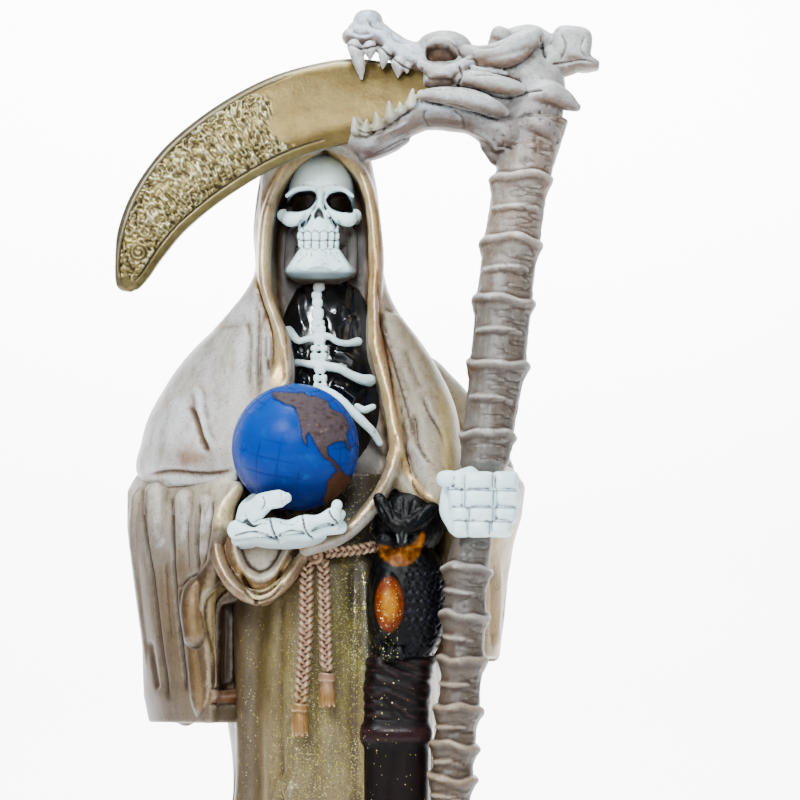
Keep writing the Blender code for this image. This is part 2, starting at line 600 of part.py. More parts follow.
def carve_figure(item):
    """Eye sockets, nose, folds and the other strokes that show from a step away."""
    for side in (-1, 1):
        dent(item, front(319.5 + 19 * side, 201, -38), (8.2, 12, 6.6), 9)
    dent(item, front(319, 214, -42), (3.2, 7, 4.4), 5)
    for x in (-84, -71):
        stroke(item, [(x, 352), (x + 3, 330), (x + 6, 300), (x + 9, 262)], 2.6, -2.4, behind=0)
    stroke(item, [(-93, 366), (-78, 369), (-57, 370), (-40, 373)], 2.5, -2.2, behind=5)
    stroke(item, [(-65, 402), (-59, 391), (-52, 381)], 3, -1.6, behind=5)
    stroke(item, [(33, 441), (38, 416), (44, 394), (50, 373)], 2.6, -1.8, behind=5)
    stroke(item, [(45, 433), (51, 415), (59, 396)], 2.6, -1.4, behind=8)
    for x, low in ((-27, 30), (-16, 225), (16, 30)):
        stroke(item, [(x + 1, 312), (x, 260), (x - 1, 214), (x - 2, max(low, 120)), (x - 4, low)], 3.0, -2.2,
               behind=0)
    # triangular fold above the feet
    stroke(item, [(-15, 224), (-24, 190), (-34, 120), (-42, 40)], 3.5, 2.2, behind=0)
    stroke(item, [(-15, 224), (-4, 180), (6, 120), (10, 40)], 3.5, 2.2, behind=0)


def make_figure(paint):
    clay = Clay()
    for shape in (base, robe, cloak, sleeves, skull, ribs, hands, owl, rope):
        shape(clay)
    item = clay.cast("figure", 1.7, paint)
    only_largest(item)
    carve_figure(item)
    thin_out(item, FIGURE_FACES)
    return item


def make_globe(paint):
    clay = Clay()
    reach = GLOBE_RADIUS / MM
    loops = []
    for lat in np.radians(np.linspace(-85, 85, 15)):
        loops.append([GLOBE_CENTRE + reach * np.array([math.cos(lat) * math.cos(lon), math.cos(lat) * math.sin(lon),
                                                       math.sin(lat)])
                      for lon in np.linspace(0, 2 * math.pi, 24, endpoint=False)])
    clay.loft(loops)
    item = clay.cast("globe", 0, paint)
    item.data.shade_smooth()
    return item


# The blade's middle line from the point to the jaws: x, z, half its width
BLADE = [(-90, 452, 0.6), (-89, 459, 5.0), (-87, 469, 9.0), (-82, 482, 12.5), (-73, 497, 15.5), (-61, 510, 18),
         (-47, 521, 19.5),
         (-31, 531, 20.5), (-14, 539, 21), (3, 544, 21), (18, 546, 20.5), (34, 546, 15), (46, 547, 10)]


def blade(clay):
    path = smooth_path([(x, z, half) for x, z, half in BLADE], 46)
    ways = np.gradient(path[:, :2], axis=0)
    ways /= np.linalg.norm(ways, axis=1)[:, None]
    loops = []
    for (x, z, half), way in zip(path, ways):
        across = np.array([-way[1], way[0]])
        thick = min(6.5, 0.9 + 0.42 * half)
        loop = []
        for turn in np.linspace(0, 2 * math.pi, 28, endpoint=False):
            c, s = math.cos(turn), math.sin(turn)
            c, s = math.copysign(abs(c) ** 0.75, c), math.copysign(abs(s) ** 0.75, s)
            at = np.array([x, z]) + across * half * c
            loop.append((at[0], -66 + thick * s, at[1]))
        loops.append(loop)
    clay.loft(loops)


def spots(y, *rows):
    """Rows of x, y, z and radius from rows of u, v and radius on the front sheet, at depth y."""
    return [(*front(u, v, y), radius) for u, v, radius in rows]


def dragon_skull(clay):
    """A horned skull in profile, facing left: snout, cheeks, horns and lower jaw."""
    mid = -66

    def run(y, rows, **options):
        clay.tube([(*front(u, v, y + dy), r) for u, v, dy, r in rows], **options)

    # snout, brow and the long cheek, drawn in profile
    run(mid, ((360, 33, 0, 6.5), (372, 34, 0, 7.4), (386, 42, 0, 6.6), (400, 50, 0, 6.2), (414, 55, 0, 6.4),
              (428, 57, 0, 7.6)),
        sides=20, count=40, wide=1.2, across=(0, 1, 0))
    clay.ball(front(368, 24, mid), (7.6, 9.5, 7.4), sides=28)
    run(mid, ((349, 37, 0, 3.6), (364, 40, 0, 4.0), (379, 38, 0, 4.6), (392, 50, 0, 4.6), (405, 60, 0, 4.6),
              (422, 66, 0, 4.4)),
        sides=16, count=40, wide=2.0, across=(0, 1, 0))
    clay.ball(front(444, 49, mid), (14.0, 13.5, 8.4), sides=32)
    clay.ball(front(440, 80, mid), (9.4, 12.0, 7.0), sides=26, square=3.2)
    run(mid, ((424, 62, 0, 5), (448, 68, 0, 8), (474, 74, 0, 10.5), (500, 74, 0, 12.5), (522, 72, 0, 13.5),
              (536, 84, 0, 14), (534, 108, 0, 14.5),
              (528, 136, 0, 14.6), (523, 166, 0, 13.2)), sides=24, count=60, wide=0.92, across=(0, 1, 0))
    clay.ball(front(492, 106, mid), (13, 10, 9), sides=24)
    # lower jaw
    run(mid, ((359, 141, 0, 5.4), (366, 147, 0, 6.4), (378, 143, 0, 6.6), (392, 132, 0, 6.8), (406, 123, 0, 7.2),
              (422, 115, 0, 7.8), (440, 112, 0, 8.8),
              (456, 114, 0, 8.8), (472, 117, 0, 8.6), (488, 124, 0, 9.6), (506, 136, 0, 12)), sides=20, count=60,
        wide=1.25, across=(0, 1, 0))
    clay.ball(front(358, 131, mid), (3.8, 8.5, 6.0), sides=22, square=2.6)
    run(mid, ((364, 156, 0, 3.0), (376, 151, 0, 4), (392, 145, 0, 3.6), (404, 138, 0, 3)), sides=12, count=20,
        wide=1.8, across=(0, 1, 0))
    for side in (-1, 1):
        y = mid + side * 12
        # the bar under the eye
        run(y, ((422, 65, -0.5 * side, 2.6), (434, 70.5, 1.0 * side, 3.4), (448, 71, 1.6 * side, 3.4),
                (460, 66.5, 1.0 * side, 3.2), (469, 61, 0, 2.4)), sides=14, count=30)
        # horns
        run(y, ((468, 52, -2 * side, 3.6), (484, 54, 0.5 * side, 4.4), (504, 51, 2.0 * side, 5.4),
                (520, 44, 2.0 * side, 5.6), (535, 37, 0, 4.6)), sides=16, count=40)
        run(y, ((476, 59, -1 * side, 2.6), (494, 61, 1.5 * side, 3.4), (512, 58, 3.0 * side, 3.6),
                (527, 50, 2.5 * side, 2.6), (532, 42, 0, 1.2)), sides=14, count=40)
        run(y, ((470, 67, -0.5 * side, 1.6), (488, 70.5, 1.0 * side, 1.9), (506, 74, 0, 1.2)), sides=10, count=20)
        run(y, ((458, 78, -1 * side, 3.0), (474, 79, 2.4 * side, 4.4), (492, 83, 4.4 * side, 4.6),
                (510, 87, 4.6 * side, 4.0), (522, 89, 3.8 * side, 2.4)), sides=18, count=40)
        run(y, ((422, 95, -1 * side, 2.6), (438, 95, 2.0 * side, 3.8), (458, 97.5, 4.6 * side, 4.9),
                (477, 102, 5.4 * side, 5.0), (493, 107.5, 5.0 * side, 4.0),
                (506, 112.5, 4.0 * side, 2.0)), sides=18, count=44)
        # teeth of the upper jaw
        y = mid + 8.5 * side
        run(y, ((354, 46, 0, 3.4), (357, 56, 0.8 * side, 3.3), (360, 67, 0.6 * side, 2.5), (361.5, 78, 0, 1.0)),
            sides=12, count=24)
        for u, v, tip_u, tip_v, reach in ((370, 48, 370, 60, 3.6), (385, 53, 382.5, 69, 3.6),
                                          (399, 64, 398, 77.5, 4.0), (407, 67, 407, 73, 2.4)):
            run(y, ((u, v, 0, reach), ((u + tip_u) / 2, (v + tip_v) / 2, 0, reach * 0.62), (tip_u, tip_v, 0, 0.6)),
                sides=10, count=14)
        # teeth of the lower jaw
        for u, v, tip_u, tip_v, reach in ((356, 128, 354, 115, 2.8), (364, 130, 366, 118, 2.8),
                                          (379, 126, 376.5, 110, 3.4), (391, 116, 387.5, 98, 3.6),
                                          (400, 111, 398, 101, 2.8), (410, 104, 412.5, 86.5, 3.2)):
            run(y, ((u, v, 0, reach), ((u + tip_u) / 2, (v + tip_v) / 2, 0, reach * 0.66), (tip_u, tip_v, 0, 0.6)),
                sides=10, count=14)
    # blocks of bone behind
    run(mid, ((498, 44, 0, 5), (514, 39, 0, 5.6), (530, 37, 0, 6.0), (543, 42, 0, 5.5)), sides=16, count=24, wide=1.2,
        across=(0, 1, 0))
    clay.ball(front(501, 38, mid), (5.6, 8, 4.6), (0, 25, 0), sides=20, square=2.8)
    clay.ball(front(571, 47.5, mid), (10.0, 10.5, 9.4), (0, 6, 0), sides=28, square=3.6)
    run(mid, ((545, 66, 0, 8), (558, 60, 0, 9.0), (570, 56, 0, 9.0)), sides=20, count=24, wide=1.0, across=(0, 1, 0))
    run(mid, ((572, 62, 0, 4.4), (588, 64.5, 0, 4.0), (597, 66, 0, 2.4)), sides=14, count=20, wide=2.0,
        across=(0, 1, 0))
    run(mid, ((532, 98, 0, 7.0), (546, 97, 0, 6.6), (560, 101, 0, 5.0), (575, 107, 0, 2.4)), sides=16, count=24,
        wide=1.5, across=(0, 1, 0))
    run(mid, ((526, 126, 0, 6.0), (541, 130, 0, 6.0), (551, 136, 0, 4.6), (556, 140, 0, 2.6)), sides=16, count=24,
        wide=1.8, across=(0, 1, 0))
    run(mid, ((540, 148, 0, 7), (547, 158, 0, 4.6)), sides=14, count=12)
    run(mid, ((492, 144, 0, 6), (498, 156, 0, 5)), sides=14, count=12)


def carve_scythe(item):
    for side, way in ((-1, (0, 1, 0)), (1, (0, -1, 0))):
        dent(item, front(445, 55, -66 + 14 * side), (8.5, 9, 5.8), 5, way)


def make_scythe(paint):
    clay = Clay()
    clay.tube(staff_rows(), 18, 300, flat_ends=True)
    blade(clay)
    dragon_skull(clay)
    item = clay.cast("scythe", 1.25, paint, 1)
    only_largest(item)
    carve_scythe(item)
    thin_out(item, SCYTHE_FACES)
    return item


def staff_room(paint):
    """The room that the figure leaves around the staff: its discs plus the clearance, and the bare grip in the fist."""
    clay = Clay()
    gap = CLEARANCE / MM + 0.6
    rows = []
    for z in [SOCKET_FOOT - 0.8, *range(30, 330, 10), 333, 337, 341, 350, 359, 363, 367, *range(375, 480, 10)]:
        radius = staff_radius(z) + disc_reach(z) + 0.1 + gap
        if abs(z - GRIP_CENTRE) < GRIP_HALF + 1:
            radius = GRIP_RADIUS / MM + gap
        rows.append((*staff_centre(z), radius))
    loops = []
    for x, y, z, radius in rows:
        loops.append([(x + radius * math.cos(t), y + radius * math.sin(t), z)
                      for t in np.linspace(0, 2 * math.pi, 28, endpoint=False)])
    clay.loft(loops)
    return clay.cast("staff_room", 0, paint)


def globe_room(paint):
    clay = Clay()
    reach = GLOBE_RADIUS / MM * 1.004 + CLEARANCE / MM
    loops = []
    for lat in np.radians(np.linspace(-86, 86, 19)):
        loops.append([GLOBE_CENTRE + reach * np.array([math.cos(lat) * math.cos(lon), math.cos(lat) * math.sin(lon),
                                                       math.sin(lat)])
                      for lon in np.linspace(0, 2 * math.pi, 32, endpoint=False)])
    clay.loft(loops)
    return clay.cast("globe_room", 0, paint)


def main():
    clear_scene()
    cast = material("resin_robe", (0.52, 0.44, 0.35), 0.5)
    bone = material("resin_bone", (0.55, 0.49, 0.43), 0.55)
    sea = material("resin_globe", (0.0, 0.13, 0.5), 0.3)
    figure = make_figure(cast)
    scythe = make_scythe(bone)
    globe = make_globe(sea)
    cut(figure, staff_room(cast))
    cut(figure, globe_room(sea))
    cut(figure, block("under", (-400, -400, -60), (400, 400, 0), cast))
    only_largest(figure)
    figure.data.shade_smooth()
    scythe.data.shade_smooth()


main()
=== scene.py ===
"""The painted look of the statue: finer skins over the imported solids, their paint, and a soft studio.

Left and right are as seen from the front."""
import math

import bpy
import numpy as np
from mathutils import Euler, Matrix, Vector


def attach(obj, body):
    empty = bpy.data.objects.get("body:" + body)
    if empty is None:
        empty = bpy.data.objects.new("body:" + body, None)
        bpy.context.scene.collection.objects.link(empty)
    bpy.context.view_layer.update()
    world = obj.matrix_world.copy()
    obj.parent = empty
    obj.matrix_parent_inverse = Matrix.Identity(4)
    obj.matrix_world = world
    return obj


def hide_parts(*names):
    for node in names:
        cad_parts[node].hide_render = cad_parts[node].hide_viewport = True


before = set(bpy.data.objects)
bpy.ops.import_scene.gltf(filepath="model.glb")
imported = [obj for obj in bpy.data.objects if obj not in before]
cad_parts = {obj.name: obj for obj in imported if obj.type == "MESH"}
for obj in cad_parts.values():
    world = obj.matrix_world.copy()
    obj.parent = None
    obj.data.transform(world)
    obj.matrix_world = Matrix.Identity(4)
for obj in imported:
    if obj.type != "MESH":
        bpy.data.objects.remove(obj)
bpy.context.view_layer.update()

FINE = 1.0  # coarser skins while working

MM = 0.001
BASE_TOP = 24.0
GLOBE_REACH = 30.0
GRIP = 9.5
# millimetres: the skins bend back softly before they reach these sides of the CAD box
LOW_LIMIT, HIGH_LIMIT, SOFT_LIMIT = np.array([-97.6, -105.4, 0.2]), np.array([136.0, 73.2, 591.3]), 2.0
KEEP = 0.46  # the share of each skin's triangles that stays

# The front sheet: the carving as drawn by a viewer about a metre away who looks up a little
EYE = np.array([39.0, -1050.0, 262.0])
LOOK_UP = math.radians(8)
SHEET_MIDDLE, SHEET_FOCUS = 400.0, 2100.0
AHEAD = np.array([0.0, math.cos(LOOK_UP), math.sin(LOOK_UP)])
ABOVE = np.array([0.0, -math.sin(LOOK_UP), math.cos(LOOK_UP)])


def front(u, v, y):
    """The point at depth y under u (to the right) and v (down) on the front sheet."""
    right, down = (u - SHEET_MIDDLE) / SHEET_FOCUS, (v - SHEET_MIDDLE) / SHEET_FOCUS
    way = AHEAD + np.array([right, 0, 0]) - down * ABOVE
    return EYE + way * (y - EYE[1]) / way[1]


def on_sheet(points):
    """u and v of points, in millimetres."""
    rel = points - EYE
    depth = rel @ AHEAD
    return SHEET_MIDDLE + SHEET_FOCUS * rel[:, 0] / depth, SHEET_MIDDLE - SHEET_FOCUS * (rel @ ABOVE) / depth


def rgb(r, g, b):
    """A linear colour from the usual 0 to 255 values."""
    out = []
    for value in (r, g, b):
        value /= 255
        out.append(value / 12.92 if value <= 0.04045 else ((value + 0.055) / 1.055) ** 2.4)
    return np.array(out)


def smooth_path(points, count):
    """Even samples of a Catmull-Rom curve through rows of numbers."""
    rows = np.array(points, float)
    padded = np.vstack([2 * rows[0] - rows[1], rows, 2 * rows[-1] - rows[-2]])
    fine = []
    for a, b, c, d in zip(padded, padded[1:], padded[2:], padded[3:]):
        for t in np.linspace(0, 1, 12, endpoint=False):
            fine.append(0.5 * (2 * b + (c - a) * t + (2 * a - 5 * b + 4 * c - d) * t**2
                               + (3 * b - a - 3 * c + d) * t**3))
    fine = np.array([*fine, rows[-1]])
    steps = np.linalg.norm(np.diff(fine[:, :3], axis=0), axis=1)
    along = np.concatenate([[0], np.cumsum(steps)])
    wanted = np.linspace(0, along[-1], count)
    return np.stack([np.interp(wanted, along, column) for column in fine.T], axis=1)


def deepen(colour):
    """Paint a little deeper and purer than it looks, since the studio's soft light pales it."""
    grey = (colour @ np.array([0.2126, 0.7152, 0.0722]))[:, None]
    return np.clip(grey + (colour - grey) * 1.35, 0.0, 1) ** 1.22 * 0.94


def step(low, high, values):
    """0 below low, 1 above high, smooth between; low may be the larger."""
    t = np.clip((values - low) / (high - low), 0, 1)
    return t * t * (3 - 2 * t)


def lattice(cells, seed):
    """A fixed pseudo-random number from 0 to 1 for each whole-number cell."""
    n = (cells[:, 0] * 374761393 + cells[:, 1] * 668265263 + cells[:, 2] * 2147483647 + seed * 974634777) & 0xFFFFFFFF
    n = ((n ^ (n >> 13)) * 1274126177) & 0xFFFFFFFF
    return ((n ^ (n >> 16)) & 0xFFFFFF) / float(0xFFFFFF)


def noise(points, size, seed=0, layers=3):
    """Smooth noise from -1 to 1 with lumps of about size millimetres."""
    total, weight = np.zeros(len(points)), 0.0
    for layer in range(layers):
        at = np.asarray(points, float) / (size * 0.5**layer) + 31.7 * layer
        cell = np.floor(at).astype(np.int64)
        t = at - cell
        t = t * t * (3 - 2 * t)
        value = np.zeros(len(points))
        for dx in (0, 1):
            for dy in (0, 1):
                for dz in (0, 1):
                    share = ((t[:, 0] if dx else 1 - t[:, 0]) * (t[:, 1] if dy else 1 - t[:, 1])
                             * (t[:, 2] if dz else 1 - t[:, 2]))
                    value += share * lattice(cell + np.array([dx, dy, dz]), seed + layer)
        total += (2 * value - 1) * 0.5**layer
        weight += 0.5**layer
    return total / weight


class Clay:
    """A heap of closed shapes, in millimetres, that becomes one skin."""

    def __init__(self):
        self.points, self.faces = [], []

    def loft(self, loops, ends=True):
        start, sides = len(self.points), len(loops[0])
        grid = np.array([[tuple(p) for p in loop] for loop in loops], float)
        spin = np.cross(grid - grid.mean(axis=1, keepdims=True), np.roll(grid, -1, axis=1)
                        - grid.mean(axis=1, keepdims=True))
        if (spin.sum(axis=1) * np.gradient(grid.mean(axis=1), axis=0)).sum() < 0:
            grid = grid[::-1]
        self.points.extend(map(tuple, grid.reshape(-1, 3).tolist()))
        for r in range(len(grid) - 1):
            for s in range(sides):
                a, b = start + r * sides + s, start + r * sides + (s + 1) % sides
                self.faces.append((a, b, b + sides, a + sides))
        if ends:
            last = start + (len(grid) - 1) * sides
            self.faces.append(tuple(range(start, start + sides))[::-1])
            self.faces.append(tuple(range(last, last + sides)))

    def tube(self, rows, sides=14, count=None, wide=1.0, across=(1, 0, 0), square=2.0, flat_ends=False):
        path = smooth_path(rows, count or 6 * len(rows))
        spots, radii = path[:, :3], np.maximum(path[:, 3], 0.05)
        ways = np.gradient(spots, axis=0)
        ways /= np.linalg.norm(ways, axis=1)[:, None]
        run = list(zip(spots, ways, radii))
        if not flat_ends:
            for cap in (-1, 1):
                at = 0 if cap < 0 else -1
                turns = np.radians(np.linspace(80, 15, 5) if cap < 0 else np.linspace(15, 80, 5))
                ends = [(spots[at] + cap * ways[at] * radii[at] * math.sin(t), ways[at], radii[at] * math.cos(t))
                        for t in turns]
                run = ends + run if cap < 0 else run + ends
        rings = []
        angles = np.linspace(0, 2 * math.pi, sides, endpoint=False)
        for spot, way, radius in run:
            side = np.array(across, float)
            side -= way * (side @ way)
            side /= np.linalg.norm(side)
            up = np.cross(way, side)
            c, s = np.cos(angles), np.sin(angles)
            c = np.sign(c) * np.abs(c) ** (2 / square)
            s = np.sign(s) * np.abs(s) ** (2 / square)
            rings.append(spot + radius * (wide * c[:, None] * side + s[:, None] * up))
        self.loft(rings)

    def ball(self, centre, radii, turn=(0, 0, 0), sides=20, square=2.0):
        spin = np.array(Euler([math.radians(t) for t in turn]).to_matrix())
        loops = []
        for lat in np.radians(np.linspace(-84, 84, sides // 2 + 1)):
            lon = np.linspace(0, 2 * math.pi, sides, endpoint=False)
            flat = np.stack([math.cos(lat) * np.cos(lon), math.cos(lat) * np.sin(lon), np.full(sides, math.sin(lat))],
                            axis=1)
            flat = np.sign(flat) * np.abs(flat) ** (2 / square)
            loops.append(np.array(centre) + (flat * np.array(radii)) @ spin.T)
        self.loft(loops)

    def skin(self, name, voxel=None, relax=2):
        """The heap as one skin, remeshed at voxel millimetres."""
        mesh = bpy.data.meshes.new(name)
        mesh.from_pydata([tuple(MM * v for v in p) for p in self.points], [], self.faces)
        item = bpy.data.objects.new(name, mesh)
        bpy.context.scene.collection.objects.link(item)
        if voxel:
            remesh(item, voxel * FINE, relax)
        return Skin(item)


def settle(item):
    graph = bpy.context.evaluated_depsgraph_get()
    mesh = bpy.data.meshes.new_from_object(item.evaluated_get(graph))
    item.modifiers.clear()
    old, item.data = item.data, mesh
    bpy.data.meshes.remove(old)


def remesh(item, voxel, relax=2):
    modifier = item.modifiers.new("skin", "REMESH")
    modifier.mode, modifier.voxel_size = "VOXEL", voxel * MM
    if relax:
        smooth = item.modifiers.new("relax", "SMOOTH")
        smooth.factor, smooth.iterations = 0.5, relax
    settle(item)


def inside_distance(u, v, outline):
    """Distance inside a closed outline on the sheet; negative outside."""
    path = np.array(outline, float)
    following = np.roll(path, -1, axis=0)
    within = np.zeros(len(u), bool)
    best = np.full(len(u), 1e9)
    for (ax, ay), (bx, by) in zip(path, following):
        crosses = (ay > v) != (by > v)
        if by != ay:
            within ^= crosses & (u < (bx - ax) * (v - ay) / (by - ay) + ax)
        way = np.array([bx - ax, by - ay])
        t = np.clip(((u - ax) * way[0] + (v - ay) * way[1]) / max(way @ way, 1e-9), 0, 1)
        best = np.minimum(best, np.hypot(u - ax - t * way[0], v - ay - t * way[1]))
    return np.where(within, best, -best)


class Skin:
    """A mesh with its points, in millimetres, and its paint."""

    def __init__(self, item):
        self.item = item
        self.read()
        self.colour = np.tile(rgb(200, 195, 185), (len(self.points), 1))
        self.metal = np.zeros(len(self.points))
        self.rough = np.full(len(self.points), 0.5)
        self.spark = np.zeros(len(self.points))

    def read(self):
        mesh = self.item.data
        flat = np.empty(3 * len(mesh.vertices), np.float64)
        mesh.vertices.foreach_get("co", flat)
        self.points = flat.reshape(-1, 3) / MM
        flat = np.empty(3 * len(mesh.vertices), np.float64)
        mesh.vertex_normals.foreach_get("vector", flat)
        self.normals = flat.reshape(-1, 3).copy()
        ends = np.empty(2 * len(mesh.edges), np.int64)
        mesh.edges.foreach_get("vertices", ends)
        self.edges = ends.reshape(-1, 2)
        self.u, self.v = on_sheet(self.points)
        way = self.points - EYE
        way /= np.linalg.norm(way, axis=1)[:, None]
        self.facing = -(self.normals * way).sum(axis=1)

    def move(self, push):
        self.points = self.points + push
        self.item.data.vertices.foreach_set("co", (self.points * MM).ravel())
        self.item.data.update()
        self.read()

    def average(self, values, rounds):
        """values smoothed over neighbouring points."""
        a, b = self.edges.T
        count = np.bincount(np.concatenate([a, b]), minlength=len(self.points))
        count = np.maximum(count, 1)
        values = np.array(values, float)
        flat = values.reshape(len(values), -1)
        for _ in range(rounds):
            new = np.empty_like(flat)
            for k in range(flat.shape[1]):
                new[:, k] = (np.bincount(a, flat[b, k], len(flat)) + np.bincount(b, flat[a, k], len(flat))) / count
            flat = 0.5 * flat + 0.5 * new
        return flat.reshape(values.shape)

    def hollow(self, rounds):
        """How far each point lies below its smoothed surroundings: positive in a groove, in millimetres."""
        return ((self.average(self.points, rounds) - self.points) * self.normals).sum(axis=1)

    def path(self, rows):
        """Distance on the sheet from a smooth path, how far along it, and the side."""
        line = smooth_path([(*row, 0) for row in rows], max(6 * len(rows), 8))[:, :2]
        best, share, side = np.full(len(self.u), 1e9), np.zeros(len(self.u)), np.zeros(len(self.u))
        near = ((self.u > line[:, 0].min() - 40) & (self.u < line[:, 0].max() + 40)
                & (self.v > line[:, 1].min() - 40) & (self.v < line[:, 1].max() + 40))
        u, v = self.u[near], self.v[near]
        b, s, d = best[near], share[near], side[near]
        for i, (p, q) in enumerate(zip(line, line[1:])):
            way = q - p
            t = np.clip(((u - p[0]) * way[0] + (v - p[1]) * way[1]) / max(way @ way, 1e-9), 0, 1)
            du, dv = u - p[0] - t * way[0], v - p[1] - t * way[1]
            far = np.hypot(du, dv)
            closer = far < b
            b[closer], s[closer] = far[closer], (i + t[closer]) / (len(line) - 1)
            d[closer] = np.sign(way[0] * dv - way[1] * du)[closer]
        best[near], share[near], side[near] = b, s, d
        return best, share, side

    def seen(self, facing=0.05, y=(-1e3, 1e3)):
        return (self.facing > facing) & (self.points[:, 1] > y[0]) & (self.points[:, 1] < y[1])

    def stroke(self, rows, width, height, taper=0.2, facing=0.05, y=(-1e3, 1e3), one_side=0):
        """Raises (or cuts, below 0) the skin along a path on the sheet, by a height in millimetres."""
        far, share, side = self.path(rows)
        push = height * np.exp(-((far / width) ** 2))
        if one_side:
            push = np.where(side == one_side, push * step(0, 1, 1 - far / (3 * width)),
                            push * np.exp(-((far / (0.35 * width)) ** 2)))
        if taper:
            push *= step(0, taper, np.minimum(share, 1 - share) + 0.02)
        push *= self.seen(facing, y)
        self.move(self.normals * push[:, None])

    def press(self, outline, depth, edge, y=(-1e3, 1e3), smooth=True):
        """Pushes what lies inside an outline on the sheet away from the viewer."""
        path = smooth_path([(*row, 0) for row in [*outline, outline[0]]], 8 * len(outline))[:-1,
                :2] if smooth else outline
        far = inside_distance(self.u, self.v, path)
        push = depth * step(0, edge, far) * self.seen(-0.2, y)
        self.move(np.array([0, 1.0, 0.14]) * push[:, None])

    def area(self, outline, edge=2.0, smooth=True):
        """1 inside an outline on the sheet, 0 outside."""
        path = smooth_path([(*row, 0) for row in [*outline, outline[0]]], 8 * len(outline))[:-1,
                :2] if smooth else outline
        return step(-edge, edge, inside_distance(self.u, self.v, path))

    def band(self, rows, width, soft=1.5):
        """1 along a path on the sheet, 0 beyond width."""
        far, share, _ = self.path(rows)
        return step(width + soft, max(width - soft, 0), far)

    def mix(self, colour, share):
        share = np.clip(np.broadcast_to(share, (len(self.points),)), 0, 1)[:, None]
        self.colour = self.colour * (1 - share) + np.asarray(colour) * share

    def shade(self, factor):
        """Paint made darker, or above 1 lighter."""
        self.colour = self.colour * np.reshape(factor, (-1, 1))

    def set(self, share=1.0, metal=None, rough=None, spark=None):
        share = np.clip(np.broadcast_to(share, (len(self.points),)), 0, 1)
        if metal is not None:
            self.metal = self.metal * (1 - share) + metal * share
        if rough is not None:
            self.rough = self.rough * (1 - share) + rough * share
        if spark is not None:
            self.spark = self.spark * (1 - share) + spark * share

    def thin(self):
        """Fewer triangles, taken first from the flattest places."""
        modifier = self.item.modifiers.new("thin", "DECIMATE")
        modifier.ratio = KEEP
        settle(self.item)

    def finish(self, material, node, slot, tone=(1, 1, 1)):
        # nothing reaches past the box of the CAD model
        over, under = self.points - (HIGH_LIMIT - SOFT_LIMIT), LOW_LIMIT + SOFT_LIMIT - self.points
        held = np.where(over > 0, HIGH_LIMIT - SOFT_LIMIT * np.exp(-np.maximum(over, 0) / SOFT_LIMIT), self.points)
        held = np.where(under > 0, LOW_LIMIT + SOFT_LIMIT * np.exp(-np.maximum(under, 0) / SOFT_LIMIT), held)
        # the foot stays flat: height is only held at the top
        foot = self.points[:, 2] < (HIGH_LIMIT - SOFT_LIMIT)[2]
        held[:, 2] = np.where(foot, np.maximum(self.points[:, 2], 0.0), held[:, 2])
        self.move(held - self.points)
        mesh = self.item.data
        paint = mesh.color_attributes.new("paint", "FLOAT_COLOR", "POINT")
        rows = np.ones((len(self.points), 4))
        rows[:, :3] = np.clip(deepen(np.clip(self.colour, 0, 1)) * tone, 0, 0.97)
        paint.data.foreach_set("color", rows.ravel().astype(np.float32))
        made = mesh.color_attributes.new("finish", "FLOAT_COLOR", "POINT")
        rows[:, 0], rows[:, 1], rows[:, 2] = np.clip(self.metal, 0, 1), np.clip(self.rough, 0.02,
                1), np.clip(self.spark, 0, 1)
        made.data.foreach_set("color", rows.ravel().astype(np.float32))
        self.thin()
        mesh = self.item.data
        mesh.materials.clear()
        mesh.materials.append(material)
        mesh.shade_smooth()
        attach(self.item, "root")
        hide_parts(node)
        return self.item


# the default dark colour for the grooves: partly a brown wash, partly painted shade
BONE_WASH_AND_SHADE = rgb(70, 62, 52)
CLOTH = rgb(186, 177, 163)
CLOTH_PALE = rgb(205, 201, 194)
# the colour of the cloth folds: partly a brown wash, partly painted shade
CLOTH_FOLD_WASH_AND_SHADE = rgb(128, 104, 78)
GOLD_PALE = rgb(238, 214, 168)
# the inside of the hood: lining colour and painted shade
LINING_AND_SHADE = rgb(74, 56, 42)
BLACK = rgb(14, 15, 18)


def paint_node(tree, name):
    node = tree.nodes.new("ShaderNodeAttribute")
    node.attribute_name = name
    return node


